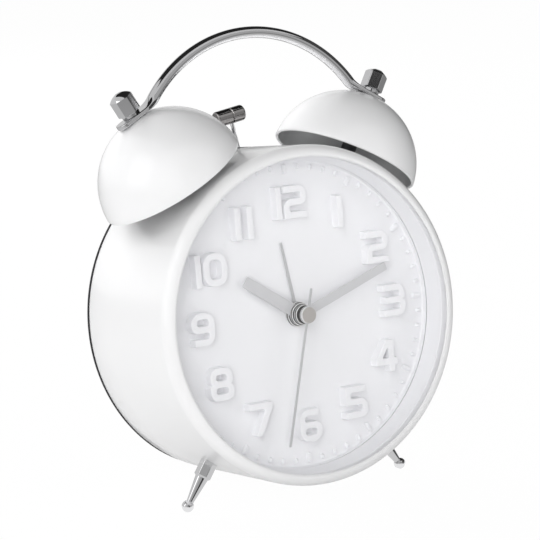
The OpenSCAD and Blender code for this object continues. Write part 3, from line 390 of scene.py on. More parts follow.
# Patterns are a size in mm and a detail, then for a cloud its second shade, and for roughness its
# lowest and highest value. A grain has its depth in mm first and may end with a stretch.
FINISHES = {
    # Near-black inside of the drum and on the cut edges of its sheet: painted shade
    "drum_inside": dict(
        colour=(0.05, 0.05, 0.052), cloud=(5, 4, (0.07, 0.07, 0.07)), rough=(1.5, 4, 0.6, 0.8)
    ),
    # Sprayed gloss lacquer with faint orange peel
    "white_lacquer": dict(
        colour=("lacquer", 1.0), cloud=(45, 2, ("lacquer", 0.985)), rough=(30, 2, 0.28, 0.31),
        grain=(0.003, 1.6, 2), sockets={"Coat Weight": 0.6, "Coat Roughness": 0.08},
    ),
    # Drawn sheet inside the bells
    "bare_steel": dict(
        colour=("bare_steel", 1.0), cloud=(7, 5, ("bare_steel", 0.8)), rough=(2.5, 4, 0.32, 0.46),
        grain=(0.004, 0.5, 3, (1.0, 6.0, 1.0)), metallic=0.5,
    ),
    # Satin moulding with a fine spark-eroded grain
    "dial_white": dict(
        colour=("dial", 1.0), cloud=(30, 2, ("dial", 0.985)), rough=(3, 4, 0.4, 0.52),
        grain=(0.003, 0.22, 2),
    ),
    # Thin clear sheet that lets nearly all light straight through
    "clear_lens": dict(
        colour=(0.97, 0.985, 1.0), rough=(14, 3, 0.02, 0.05), sockets={"Alpha": 0.03}
    ),
    # Bright plate with faint polishing haze
    "chrome": dict(
        colour=("chrome", 1.0), cloud=(5, 3, ("chrome", 0.95)), rough=(9, 1, 0.05, 0.08),
        grain=(0.001, 12, 0), metallic=1.0,
    ),
    # Dark nickel plate on the hammer
    "gunmetal": dict(
        colour=("gunmetal", 1.0), cloud=(3, 3, ("gunmetal", 0.85)), rough=(1.2, 4, 0.09, 0.17),
        grain=(0.001, 0.3, 3), metallic=1.0,
    ),
    # Satin lacquer over stamped sheet, and the darker one of the alarm and second hands, which also
    # paints the shade in the dial's groove
    "satin_silver": dict(
        colour=("hands", 1.0), cloud=(2.5, 5, ("hands", 0.95)), rough=(0.8, 4, 0.42, 0.56),
        grain=(0.002, 0.15, 2), metallic=0.15,
    ),
    "satin_grey": dict(
        colour=("hands", 0.84), cloud=(2.5, 5, ("hands", 0.79)), rough=(0.8, 4, 0.42, 0.56),
        grain=(0.002, 0.15, 2), metallic=0.15,
    ),
    # Sides of the collets, darkened as painted shade; their front edges and the cap's side,
    # lightened as a painted highlight; and the satin front of the cap
    "dull_metal": dict(
        colour=("collets", 0.3), cloud=(1.1, 4, ("collets", 0.22)), rough=(0.5, 4, 0.3, 0.44),
        metallic=0.9,
    ),
    "bright_edge": dict(
        colour=(0.86, 0.855, 0.85), cloud=(0.9, 3, (0.8, 0.795, 0.79)), rough=(0.5, 3, 0.25, 0.36),
        metallic=0.3,
    ),
    "cap_metal": dict(
        colour=("collets", 1.0), cloud=(1.6, 2, ("collets", 0.96)), rough=(0.6, 3, 0.38, 0.46),
        metallic=0.25,
    ),
    # Fine-grained black moulding
    "black_plastic": dict(
        colour=("black", 1.0), cloud=(6, 3, ("black", 1.5)), rough=(0.9, 4, 0.5, 0.7),
        grain=(0.012, 0.3, 2), sockets={"Specular IOR Level": 0.12},
    ),
    # Zinc plate with a brushed grain
    "zinc_steel": dict(
        colour=(0.46, 0.47, 0.49), cloud=(1.5, 4, (0.38, 0.39, 0.4)), rough=(0.7, 4, 0.26, 0.42),
        grain=(0.003, 0.2, 2, (6.0, 1.0, 1.0)), metallic=1.0,
    ),
    # Blackened studs under the bells
    "dark_steel": dict(
        colour=(0.12, 0.12, 0.122), cloud=(1.4, 4, (0.17, 0.17, 0.17)), rough=(0.8, 4, 0.32, 0.48),
        metallic=0.9,
    ),
    # Cut brass with turned rings
    "brass": dict(
        colour=(0.72, 0.52, 0.22), cloud=(1.2, 4, (0.62, 0.43, 0.17)), rough=(0.6, 4, 0.22, 0.36),
        grain=(0.003, 0.15, None), metallic=1.0,
    ),
    # Natural moulding of the movement
    "movement_plastic": dict(
        colour=(0.74, 0.74, 0.7), cloud=(4, 3, (0.7, 0.7, 0.66)), rough=(0.9, 4, 0.38, 0.54),
        grain=(0.004, 0.25, 2),
    ),
    # Enamelled wire in close turns
    "copper_winding": dict(
        colour=(0.6, 0.27, 0.12), cloud=(0.8, 3, (0.45, 0.19, 0.08)), rough=(0.5, 3, 0.24, 0.38),
        grain=(0.03, 0.16, 1, (4.0, 1.0, 1.0)), metallic=0.9,
    ),
    # Stamped iron of stator and magnet
    "soft_iron": dict(
        colour=(0.25, 0.25, 0.26), cloud=(1.2, 4, (0.2, 0.2, 0.2)), rough=(0.7, 4, 0.38, 0.55),
        metallic=0.9,
    ),
    # Lacquered circuit board
    "board_green": dict(
        colour=(0.03, 0.16, 0.06), cloud=(1.8, 1, (0.05, 0.22, 0.09)), rough=(1.1, 3, 0.24, 0.38)
    ),
    # Plain printed jacket of the battery
    "cell_jacket": dict(
        colour=(0.16, 0.17, 0.2), cloud=(6, 3, (0.2, 0.21, 0.24)), rough=(1.5, 3, 0.24, 0.38),
        metallic=0.4,
    ),
}


def size(label, default, about):
    """Length in metres that a user may change."""
    return FloatProperty(name=label, description=about, default=default, unit="LENGTH", precision=5)


def angle(label, degrees, about):
    """Angle that a user may change."""
    return FloatProperty(
        name=label, description=about, default=math.radians(degrees), subtype="ANGLE"
    )


def plain(label, default, about):
    """Number that a user may change."""
    return FloatProperty(name=label, description=about, default=default)


def colour(label, default, about):
    """Colour that a user may change."""
    return FloatVectorProperty(
        name=label, description=about, default=default, subtype="COLOR", size=3, min=0.0, max=1.0
    )


class ClockSizes(bpy.types.PropertyGroup):
    """Sizes of the dressed pieces."""

    drum_wall: size("Drum wall", 0.9 * MM, "Thickness of the drum's sheet")
    lip_radius: size("Lip radius", 3.3 * MM, "Outside radius of the bend at the front edge")
    numeral_width: size("Numeral width", 8.0 * MM, "Width of a round digit")
    numeral_height: size("Numeral height", 9.8 * MM, "Height of the numerals")
    numeral_stroke: size("Numeral stroke", 2.1 * MM, "Width of a digit's stroke")
    numeral_soft: size("Numeral rounding", 0.22 * MM, "Rounding of the numerals' front edges")
    bell_radius: size("Bell radius", 22.5 * MM, "Radius of a bell's rim")
    bell_height: size("Bell height", 21.2 * MM, "Height of a bell from rim to crown")
    bell_wall: size("Bell wall", 0.9 * MM, "Thickness of a bell's sheet")
    bell_spread: angle("Bell spread", 34.9, "Angle round the drum from twelve to a bell")
    bell_tilt: angle("Bell tilt", 30.0, "Tilt of a bell's axis from upright")
    bell_rise: size("Bell rise", 2.65 * MM, "Height of a bell's rim above the drum")
    rod_radius: size("Rod radius", 1.75 * MM, "Radius of the handle's rod")
    handle_rise: size("Handle rise", 18.5 * MM, "Height of the rod's crest above its ends")
    tab_thickness: size("Tab thickness", 1.4 * MM, "Thickness of the handle's flattened ends")
    tab_half: size("Tab half width", 2.9 * MM, "Half width of the flattened ends")
    tab_length: size("Tab length", 7.0 * MM, "From a flattened end's hole to the rod")
    tab_over: size("Tab overhang", 2.8 * MM, "From a hole to the start of the tab's round end")
    nut_height: size("Nut height", 7.8 * MM, "Height of the acorn nuts")
    nut_radius: size("Nut radius", 3.6 * MM, "Radius of the acorn nuts over their corners")
    foot_angle: angle("Foot angle", 35.8, "Angle round the drum from six to a foot")
    foot_length: size("Foot length", 14.4 * MM, "From the drum to the middle of the ball")
    ball_radius: size("Ball radius", 1.8 * MM, "Radius of a foot's ball")
    collar_radius: size("Collar radius", 2.6 * MM, "Radius of a foot's hex collar")


class ClockColours(bpy.types.PropertyGroup):
    """Colours of the finishes."""

    lacquer: colour("Lacquer", (0.86, 0.86, 0.865), "Gloss white of drum and bells")
    dial: colour("Dial", (0.905, 0.905, 0.925), "Satin white of the dial")
    chrome: colour("Chrome", (0.80, 0.80, 0.81), "Plate on handle, nuts and feet")
    gunmetal: colour("Dark nickel", (0.40, 0.385, 0.38), "Plate on the hammer")
    hands: colour("Hands", (0.665, 0.665, 0.68), "Satin grey of the hands")
    collets: colour("Collets", (0.48, 0.455, 0.435), "Turned metal of hubs and cap")
    bare_steel: colour("Bare steel", (0.68, 0.685, 0.69), "Inside of the bells")
    black: colour("Black moulding", (0.022, 0.022, 0.024), "Back cover and controls")


class ClockStage(bpy.types.PropertyGroup):
    """Camera and light."""

    azimuth: angle("Azimuth", -30.56, "Camera's turn about the clock's upright")
    elevation: angle("Elevation", 5.0, "Camera's height above the drum's axis")
    roll: angle("Roll", -5.2, "Camera's roll in the clock's own frame")
    distance: size("Distance", 619.85 * MM, "Camera's distance")
    focal: plain("Lens", 143.76, "Focal length in millimetres")
    key: plain("Key", 7.0, "Power of the key softbox")
    upper: plain("Upper", 4.4, "Power of the upper left softbox")
    side: plain("Side", 5.3, "Power of the softbox left and behind")
    fill: plain("Fill", 3.1, "Power of the right softbox")
    rear: plain("Rear", 14.0, "Power of the rear softbox")
    ambient: plain("Ambient", 0.1, "Strength of the room's light")


def sizes():
    """Sizes that the panel holds."""
    return bpy.context.scene.clock_sizes


class CLOCK_OT_drum(bpy.types.Operator):
    """Drum with its turned-in front edge and the slot for the hammer"""

    bl_idname = "clock.drum"
    bl_label = "Drum"

    def execute(self, context):
        s = sizes()
        drum, length, lip = reach("drum_case"), span("drum_case")[1][1], s.lip_radius
        slot_half, slot_front, slot_back, guard = 9.0 * MM, 31.2 * MM, 36.6 * MM, 0.15 * MM
        depth = np.array([length, slot_back, slot_front, lip + guard])
        curl, bend = 0.95 * MM, math.radians(75)
        roll = np.concatenate([np.linspace(0, bend, 20), np.linspace(bend, 2 * bend, 14)[1:]])
        curled = (roll > bend)[:, None]
        hub = np.where(curled, (lip - curl) * polar(bend), 0.0)
        arc = hub + np.where(curled, curl, lip) * polar(roll)
        barrel = np.stack([np.full_like(depth, drum), depth], -1)
        profile = np.concatenate([barrel, (drum - lip, lip) + arc * (1, -1)])
        edge = math.asin(slot_half / drum)
        turn = np.unique(np.concatenate([np.linspace(-np.pi, np.pi, 241)[:-1], [-edge, edge]]))
        points, faces = swept(polar(turn), profile[:, :1], profile[:, 1:], DRUM)
        row, col = np.divmod(faces[:, 0], len(turn))
        slot = (row == 1) & (turn[col] >= -edge - 1e-9) & (turn[col] < edge - 1e-9)
        side = row < len(depth) - 1
        shells = [(points, faces[side & ~slot], 0), (points, faces[~side], 2)]
        looks = "white_lacquer drum_inside white_lacquer"
        made = piece("drum_shell", shells, looks, "case", "white_lacquer", "drum_case")
        wall = made.modifiers.new("wall", "SOLIDIFY")
        wall.thickness, wall.offset, wall.use_even_offset = s.drum_wall, -1.0, True
        # Inside and cut edges of the sheet take the near-black finish: painted shade that darkens
        # the inside seen through the slot
        wall.material_offset = wall.material_offset_rim = 1
        soft = made.modifiers.new("edges", "BEVEL")
        soft.width, soft.segments = 0.16 * MM, 3
        soft.limit_method, soft.angle_limit = "ANGLE", math.radians(60)
        return {"FINISHED"}


class CLOCK_OT_face(bpy.types.Operator):
    """Lens, spacer ring, dial, marks and numerals"""

    bl_idname = "clock.face"
    bl_label = "Face"

    def execute(self, context):
        self.lens()
        self.spacer()
        self.dial()
        self.marks()
        self.numerals(sizes())
        return {"FINISHED"}

    def lens(self):
        """Flat disc with small bevels."""
        (_, front, _), (_, back, _) = span("lens")
        edge, bevel = reach("lens"), 0.2 * MM
        pane = [(0, front, 0), (edge, front, bevel), (edge, back, bevel), (0, back, 0)]
        shell = spindle(pane, turns=192, steps=4, guard=0.05 * MM)
        piece("front_lens", [shell], "clear_lens", "case", "clear_lens", "lens")

    def spacer(self):
        """Turned ring whose inside narrows from mouth to throat."""
        points = own(packed("spacer_ring"))
        radius, depth = off_axis(points), points[:, 1]
        front, back, outer = depth.min(), depth.max(), radius.max()
        slack, soft = 0.05 * MM, 0.3 * MM
        mouth = radius[depth < front + slack].min()
        throat = radius[depth > back - slack].min()
        corners = [(mouth, front, soft), (outer, front, 0), (outer, back, 0), (throat, back, soft)]
        shell = turned(rounded(corners, 5, 0.1 * MM), turns=192)
        piece("inner_ring", [shell], "dial_white", "case", "white_plastic", "spacer_ring")

    def dial(self):
        """Turned dish with a groove round its rim, whose faces are painted a darker grey as painted
        shade, and bosses for the screws behind it.
        """
        points = own(packed("dial"))
        radius, depth = off_axis(points), points[:, 1]
        outer, hole, rim_y, far = radius.max(), radius.min(), depth.min(), depth.max()
        rim, floor = radius[depth < rim_y + NEAR].min(), dial_floor()
        thick, cove, groove, soft, slack = 1.0 * MM, 0.6 * MM, 0.22 * MM, 0.2 * MM, 0.05 * MM
        step = rim + 2.5 * groove
        corners = [(hole, floor, soft), (rim, floor, cove), (rim, rim_y + groove, soft)]
        corners += [(step, rim_y + groove, 0), (step, rim_y, 0), (outer, rim_y, 0)]
        corners += [(outer, floor + thick, 0), (hole, floor + thick, 0)]
        grid, faces = turned(rounded(corners, 6, 0.1 * MM), turns=192)
        # Faces in the groove take the darker grey: painted shade
        groove_shade_faces = off_axis(grid)[faces].min(1) > rim - slack
        groove_shade_faces &= grid[:, 1][faces].max(1) < rim_y + groove + slack
        shells = [(grid, faces[~groove_shade_faces], 0), (grid, faces[groove_shade_faces], 1)]
        ear_back = span("movement_screws")[0][1] + 4.0 * MM
        post_out, post, ear_out, ear = 44.3 * MM, 3.0 * MM, 31.2 * MM, 2.85 * MM
        bosses = [(turn, post_out, post, far) for turn in (0.0, np.pi, 1.5 * np.pi)]
        bosses += [(turn, ear_out, ear, ear_back) for turn in (0.0, np.pi)]
        start = floor + thick / 2
        for turn, out, boss, end in bosses:
            spot = (out * math.cos(turn), start, out * math.sin(turn))
            length = end - start
            tube = [(0, 0, 0), (boss, 0, 0), (boss, length, soft), (0, length, 0)]
            shells.append(spindle(tube, seat(spot, BACK, UP), 32, 3))
        piece("dial_plate", shells, "dial_white satin_grey", "case", "white_plastic", "dial")

    def marks(self):
        """Rounded bars round the dial, longer at each hour."""
        rim, lift, soft, draft = 44.55 * MM, 1.0 * MM, 0.36 * MM, 0.03 * MM
        edge = [(-0.2 * MM, -0.05 * MM), (0.0, 0.15 * MM), (draft, lift - soft)]
        edge = np.concatenate([edge, crest(draft, lift, soft, np.linspace(0.3, 0.45 * np.pi, 4))])
        shells, floor = [], dial_floor()
        for minute in range(60):
            long, short = (0.65, 2.9, 0.5), (0.45, 1.5, 0.35)
            half, length, corner = (MM * value for value in (short if minute % 5 else long))
            low = rim - length
            bar = [(-half, low), (half, low), (half, rim), (-half, rim)]
            outline = rounded([(*spot, corner) for spot in bar], 3)
            shells += relief([spun(outline, math.radians(6 * minute))], edge, floor)
        piece("minute_marks", shells, "dial_white", "case", "white_plastic", crease=50.0)

    def numerals(self, s):
        """Upright numerals in a ring, each set about its own middle."""
        low, high = span("hour_numerals")
        lift, middle, draft, tight = high[1] - low[1] + NEAR, 33.25 * MM, 0.06 * MM, 0.6 * MM
        edge = [(-0.15 * MM, -0.04 * MM), (-0.05 * MM, 0.08 * MM), (0.0, 0.25 * MM)]
        front = crest(draft, lift, s.numeral_soft, np.linspace(0, np.pi / 2, 6))
        edge, shells = np.concatenate([edge, front]), []
        for hour in range(1, 13):
            spot = middle * polar(math.radians(30 * hour))[::-1]
            text = [int(c) for c in str(hour)]
            gap = s.numeral_stroke if hour == 11 else tight
            widths = [s.numeral_stroke if n == 1 else s.numeral_width for n in text]
            left = -(sum(widths) + gap * (len(text) - 1)) / 2
            for n, width in zip(text, widths):
                loops = digit(n, s.numeral_width, s.numeral_height, s.numeral_stroke)
                shift = spot + (left, -s.numeral_height / 2)
                shells += relief([loop + shift for loop in loops], edge, dial_floor())
                left += width + gap
        piece(
            "raised_numerals", shells, "dial_white", "case", "white_plastic", "hour_numerals",
            crease=50.0,
        )


def digit(n, w, h, s):
    """Outlines of a digit of width w, height h and stroke s, from its lower left corner.

    The outer outline comes first and then its holes. Corners are (across, up, rounding).
    """
    if n == 9:
        return [np.array([w, h]) - outline for outline in digit(6, w, h, s)]
    e, i, bowl, loop, bore = 0.3 * MM, 0.6 * MM, 2.6 * MM, 3.5 * MM, 0.8 * MM
    low, m, m0, m1 = 0.62 * h, h / 2, (h - s) / 2, (h + s) / 2
    nick, lobe, waist, notch = 0.45 * MM, 0.9 * MM, 1.0 * MM, 0.15 * MM
    mid, bar, stem, top, end = 0.12 * w, 0.22 * h, 0.86 * w, 0.94 * w, 0.88 * w
    foot, slant, x0, x1 = 0.2 * w, 1.15 * s, 0.03 * w, 0.97 * w
    wi, hi, post = w - s, h - s, stem - s

    def box(left, under, right, over, r):
        return [(left, under, r), (left, over, r), (right, over, r), (right, under, r)]

    outer = {
        0: [(0, 0, loop), (w, 0, loop), (w, h, loop), (0, h, loop)],
        1: [(0, 0, e), (s, 0, e), (s, h, e), (0, h, e)],
        2: [
            (0, 0, e), (w, 0, e), (w, s, e), (s, s, i), (s, m0, i), (w, m0, bowl), (w, h, bowl),
            (0, h, e), (0, hi, e), (wi, hi, i), (wi, m1, i), (0, m1, bowl),
        ],
        3: [
            (0, 0, e), (w, 0, bowl), (w, m - nick, lobe), (w - waist, m, notch),
            (w, m + nick, lobe), (w, h, bowl), (0, h, e), (0, hi, e), (wi, hi, i), (wi, m1, i),
            (mid, m1, e), (mid, m0, e), (wi, m0, i), (wi, s, i), (0, s, e),
        ],
        4: [
            (post, 0, e), (stem, 0, e), (stem, bar, e), (w, bar, e), (w, bar + s, e),
            (stem, bar + s, e), (stem, h, e), (0.5 * w, h, e), (0, bar + s, e), (0, bar, e),
            (post, bar, e),
        ],
        5: [
            (0, 0, e), (w, 0, bowl), (w, low, bowl), (s, low, i), (s, hi, i), (top, hi, e),
            (top, h, e), (0, h, e), (0, low - s, e), (wi, low - s, i), (wi, s, i), (0, s, e),
        ],
        6: [
            (0, 0, loop), (w, 0, loop), (w, low, 2.4 * MM), (s, low, i), (s, hi, 0.95 * MM),
            (end, hi, e), (end, h, e), (0, h, loop),
        ],
        7: [
            (foot, 0, e), (foot + slant, 0, e), (w, hi, i), (w, h, e), (0, h, e), (0, hi, e),
            (w - slant, hi, i),
        ],
        8: [
            (0, 0, bowl), (w, 0, bowl), (w, m - nick, lobe), (w - waist, m, notch),
            (x1, m + nick, lobe), (x1, h, bowl), (x0, h, bowl), (x0, m + nick, lobe),
            (waist, m, notch), (0, m - nick, lobe),
        ],
    }
    holes = {
        0: [box(s, s, wi, hi, loop - s)],
        4: [[(0.3 * w, bar + s, e), (post, hi, e), (post, bar + s, e)]],
        6: [box(s, s, wi, low - s, 0.85 * MM)],
        8: [box(s, s, wi, m0, bore), box(x0 + s, m1, x1 - s, hi, bore)],
    }
    return [rounded(corners) for corners in (outer[n], *holes.get(n, ()))]


class CLOCK_OT_hands(bpy.types.Operator):
    """Four stamped hands on their turned collets"""

    bl_idname = "clock.hands"
    bl_label = "Hands"

    # Width at tip and root, length of tail, and radius of eye and neck in mm, and the finish
    shapes = {
        "alarm": (0.7, 1.0, 0.0, 3.75, 2.46, "satin_grey"),
        "hour": (3.4, 3.7, 0.0, 3.35, 1.96, "satin_silver"),
        "minute": (2.5, 2.8, 0.0, 2.95, 1.46, "satin_silver"),
        "second": (0.7, 0.7, 7.9, 2.63, 0.96, "satin_grey"),
    }

    def execute(self, context):
        for name, (*lengths, look) in self.shapes.items():
            self.blade(name, *(MM * length for length in lengths), look)
            self.collet(name)
        self.cap()
        return {"FINISHED"}

    def blade(self, name, tip, root, tail, eye, neck, look):
        """Bar with a round eye: the eye's arc is joined to the bar's corners."""
        turn, length = pointing(f"{name}_hand")
        (_, front, _), (_, back, _) = span(f"{name}_hand")
        half, end, corner, bevel = root / 2, tip / 2, 0.04 * MM, 0.03 * MM
        gap = math.asin(min(half / eye, 0.99))
        start, stop, low = np.pi / 2 + gap, 2.5 * np.pi - gap, 1.5 * np.pi
        bar = [(-half, 0, 0), (half, 0, 0), (end, length, corner), (-end, length, corner)]
        bar = rounded(bar, 3)
        bar = bar[bar[:, 1] > eye]
        lines = [bar[bar[:, 0] > 0], bar[bar[:, 0] <= 0]]
        if tail:
            foot = [(half, 0, 0), (-half, 0, 0), (-half, -tail, corner), (half, -tail, corner)]
            foot = rounded(foot, 3)
            lines.append(eye * polar(np.linspace(start, low - gap, 24)))
            lines.append(foot[foot[:, 1] < -eye])
            lines.append(eye * polar(np.linspace(low + gap, stop, 24)))
        else:
            lines.append(eye * polar(np.linspace(start, stop, 48)))
        thick = back - front
        edge = [(bevel, 0.0), (0.0, bevel), (0.0, thick - bevel), (bevel, thick)]
        hole = neck * polar(-full_turn(40))
        shells = relief([spun(np.concatenate(lines), turn), hole], edge, back)
        piece(f"{name}_pointer", shells, look, name, "satin_silver", f"{name}_hand")

    def collet(self, name):
        """Collar with a neck through its hand; its front edge carries a painted highlight and the
        rest painted shade.
        """
        points = own(packed(f"{name}_hub"))
        radius, depth = off_axis(points), points[:, 1]
        outer, bore, soft = radius.max(), radius.min(), 0.2 * MM
        wide = depth[radius > outer - NEAR]
        front, back = wide.min(), wide.max()
        far = depth.min() if name == "second" else depth.max()
        neck = radius[np.abs(depth - far) < NEAR].max()
        if name == "second":
            start = [(bore, far), (neck, far), (neck, front)]
            end = [(outer, back), (bore, back), (bore, far)]
        else:
            start = [(bore, front)]
            end = [(outer, back), (neck, back), (neck, far), (bore, far), (bore, front)]
        arc = front_edge(outer, front, soft, 5)
        shells = bands([[*start, arc[0]], arc, [arc[-1], *end]], (1, 0, 1))
        looks, hub = "bright_edge dull_metal", f"{name}_hub"
        piece(f"{name}_collet", shells, looks, name, "turned_metal", hub)

    def cap(self):
        """Solid cap with a satin front and a side lightened as a painted highlight."""
        (_, front, _), (_, back, _) = span("second_cap")
        outer, soft = reach("second_cap"), 0.1 * MM
        arc = front_edge(outer, front, soft, 6)
        disc = [(0.0, front), (outer - 1.2 * soft, front), arc[0]]
        shells = bands([disc, [*arc, (outer, back), (0.0, back)]], (0, 1))
        looks = "cap_metal bright_edge"
        piece("second_button", shells, looks, "second", "turned_metal", "second_cap")


def bell_seat(side):
    """Frame of a bell: origin in the middle of its rim, last axis towards its crown."""
    s = sizes()
    out = (reach("drum_case") + s.bell_rise) * polar(s.bell_spread)
    depth = sum(corner[1] for corner in span(f"bell_{SIDES[side]}")) / 2
    axis = (side * math.sin(s.bell_tilt), 0.0, math.cos(s.bell_tilt))
    return seat((side * out[1], depth, out[0]), axis)


class CLOCK_OT_bells(bpy.types.Operator):
    """Bells with bare insides, on blackened studs"""

    bl_idname = "clock.bells"
    bl_label = "Bells"

    def execute(self, context):
        s = sizes()
        bore, turns = 1.55 * MM, 160
        ball = (s.bell_radius**2 + s.bell_height**2) / (2 * s.bell_height)
        sink, inner = s.bell_height - ball, ball - s.bell_wall
        arcs = [(r, math.acos(-sink / r), math.asin(bore / r)) for r in (ball, inner)]
        outside, inside = (
            (0, sink) + r * polar(np.linspace(start, stop, 56))[:, ::-1] for r, start, stop in arcs
        )
        hem, half = (inside[0] + outside[0]) / 2, np.linalg.norm(outside[0] - inside[0]) / 2
        lip = hem - half * polar(np.linspace(0, np.pi, 9)[1:-1]) * (1, 0.9)
        lacquered = np.concatenate([inside[:1], lip, outside])
        bare = np.concatenate([outside[-1:], inside[::-1]])
        looks = "white_lacquer bare_steel"
        for side, word in SIDES.items():
            where = bell_seat(side)
            shells = bands([lacquered, bare], (0, 1), where, turns)
            piece(f"bell_shell_{word}", shells, looks, "case", "white_lacquer", f"bell_{word}")
            self.stud(word, where, inner, sink)
        return {"FINISHED"}

    def stud(self, word, where, inner, sink):
        """Thick middle between drum and crown, with a thread at each end."""
        thick, thread, soft = 2.3 * MM, 1.5 * MM, 0.2 * MM
        crown = sink + math.sqrt(inner**2 - thick**2)
        foot, low, top = -3.2 * MM, -7.0 * MM, sizes().bell_height + 6.0 * MM
        corners = [(0, low, 0), (thread, low, soft), (thread, foot, 0), (thick, foot, soft)]
        corners += [(thick, crown, 0.1 * MM), (thread, crown, 0), (thread, top, soft), (0, top, 0)]
        shell, node = spindle(corners, where, 48, 4), f"bell_post_{word}"
        piece(f"bell_stud_{word}", [shell], "dark_steel", "case", "zinc_steel", node)


def hexagon(radius, corner, spin=0.0):
    """Rays and distances round a hexagon with rounded corners, from its middle to its outline."""
    spots = radius * polar(spin + full_turn(6))
    outline = rounded(np.column_stack([spots, np.full(6, corner)]), 6, 0.04 * MM)
    return unit(outline), np.hypot(*outline.T)


def smooth_knee(path, rounds=8, fixed=14):
    """Softens the kink past the fixed points by averaging each point with its neighbours."""
    for _ in range(rounds):
        middle = 0.5 * path[1:-1] + 0.25 * (path[:-2] + path[2:])
        path = np.concatenate([path[:fixed], middle[fixed - 1 : -1], path[-2:]])
    return path


class CLOCK_OT_handle(bpy.types.Operator):
    """Bent chromed rod with flattened ends under acorn nuts"""

    bl_idname = "clock.handle"
    bl_label = "Handle"

    def execute(self, context):
        s = sizes()
        self.rod(s)
        for side, word in SIDES.items():
            self.nut(s, side, word)
        return {"FINISHED"}

    def middle(self, s, origin, axis):
        """Right half of the rod's middle line: round nose, tab, knee and an arc to the crest."""
        eye = (origin + (s.bell_height + s.tab_thickness / 2) * axis)[[0, 2]]
        knee = eye + s.tab_length * np.array([-axis[2], axis[0]])
        bend = (knee[0] ** 2 + s.handle_rise**2) / (2 * s.handle_rise)
        turn = np.linspace(math.asin(knee[0] / bend), 0, 260)
        arc = (0, knee[1] + s.handle_rise - bend) + bend * polar(turn)[:, ::-1]
        nose = s.tab_over + s.tab_half * np.cos(np.linspace(0, np.pi / 2, 12))
        out = np.concatenate([nose, np.linspace(s.tab_over, -s.tab_length, 24)[1:]])
        straight = eye + out[:, None] * unit(eye - knee)
        return smooth_knee(np.concatenate([straight[:-2], arc[4:]]))

    def rod(self, s):
        """Section carried along the path and mirrored to the other side.

        Its two half widths go from the tab's to the rod's, and the power of its cosine and sine
        goes from a flat bar's to one, which is round.
        """
        origin, _, _, axis = bell_seat(1)
        path = self.middle(s, origin, axis)
        run = np.concatenate([[0], np.cumsum(np.linalg.norm(np.diff(path, axis=0), axis=1))])
        heading = unit(np.gradient(path, run, axis=0))
        normal = np.stack([-heading[:, 1], heading[:, 0]], -1)
        past = run - s.tab_half - s.tab_over
        start, blend, blunt, flat_bar = 0.55 * s.tab_length, 0.75 * s.tab_length, 2.4, 0.35
        shape = eased((past - start) / blend)
        nose = np.clip(-(past + s.tab_over) / s.tab_half, 0, 1)
        tip = (1 - nose**blunt) ** (1 / blunt)
        wide = (s.tab_half * (1 - shape) + s.rod_radius * shape) * tip
        thick = s.tab_thickness / 2 * (1 - shape) + s.rod_radius * shape
        power = (flat_bar * (1 - shape) + shape)[:, None]
        c, q = polar(full_turn(96)).T
        across = np.sign(c) * np.abs(c) ** power * wide[:, None]
        lift = np.sign(q) * np.abs(q) ** power * thick[:, None]
        flat = path[:, None] + lift[..., None] * normal[:, None]
        half = np.stack([flat[..., 0], origin[1] + across, flat[..., 1]], -1)
        points = np.concatenate([half, half[-2::-1] * (-1, 1, 1)])
        shell = points.reshape(-1, 3), quads(*points.shape[:2])
        piece("carrying_handle", [shell], "chrome", "case", "chrome", "handle")

    def nut(self, s, side, word):
        """Neck, chamfer up to the hexagon, flats up to where the dome cuts them, and the dome."""
        neck, low, dome, lead, edge = 2.74 * MM, 0.9 * MM, 4.6 * MM, 0.25 * MM, 0.12 * MM
        corner, guard, gap, slope, spin = 0.3 * MM, 0.03 * MM, 0.05 * MM, 1.9, math.radians(4.0)
        ray, far = hexagon(s.nut_radius, corner, spin)
        flat, middle = np.ones((1, len(far))), s.nut_height - dome
        foot, cut = low + (far - neck - lead) / slope, middle + np.sqrt(dome**2 - far**2)
        cap = np.sin(np.linspace(1, 0, 18)[1:] * np.arcsin(far / dome)[:, None]).T * dome
        radius = np.array([[0, neck - edge, neck, neck, neck + lead]]).T * flat
        height = np.array([[0, 0, edge, low, low]]).T * flat
        radius = np.concatenate([radius, [far, far, far, far], cap])
        flats = [foot, foot + guard, cut - guard, cut]
        height = np.concatenate([height, flats, middle + np.sqrt(dome**2 - cap**2)])
        where = bell_seat(side)
        where[0] += (s.bell_height + s.tab_thickness + gap) * where[3]
        shells, node = [swept(ray, radius, height, where)], f"bell_nut_{word}"
        piece(f"acorn_nut_{word}", shells, "chrome", "case", "chrome", node, crease=28.0)


class CLOCK_OT_hammer(bpy.types.Operator):
    """Hammer head with a groove, on its wire"""

    bl_idname = "clock.hammer"
    bl_label = "Hammer"

    def execute(self, context):
        pivot = own(JOINTS["hammer_swing"]["pos_m"])
        wire, head = own(packed("hammer_wire")), own(packed("hammer_head"))
        far = wire[np.argsort(np.linalg.norm(wire - pivot, axis=1))[-40:]].mean(0)
        up = unit((far - pivot) * (1, 0, 1))
        across = np.array([up[2], 0.0, -up[0]])
        thicker, soft, groove, fine = 1.12, 0.65 * MM, 0.3 * MM, 0.08 * MM
        radius = thicker * np.ptp(head[:, 1]) / 2
        shift, rise = (head - pivot) @ across, (head - pivot) @ up
        left, right, length = shift.min(), shift.max(), (rise.min() + rise.max()) / 2
        corners = [(0, left, 0), (radius, left, soft), (radius, -groove, fine)]
        corners += [(radius - groove, 0, fine), (radius, groove, fine)]
        corners += [(radius, right, soft), (0, right, 0)]
        shell = spindle(corners, seat(pivot + length * up, across), 72, guard=0.02 * MM)
        piece("striker_head", [shell], "gunmetal", "hammer", "gunmetal", "hammer_head")
        thin, start, stop = 0.6 * MM, 1.2 * MM, length - MM
        rod = [(0, start, 0), (thin, start, 0.1 * MM), (thin, stop, 0), (0, stop, 0)]
        shell = spindle(rod, seat(pivot, up), 32, 3)
        piece("striker_wire", [shell], "chrome", "hammer", "gunmetal", "hammer_wire")
        return {"FINISHED"}


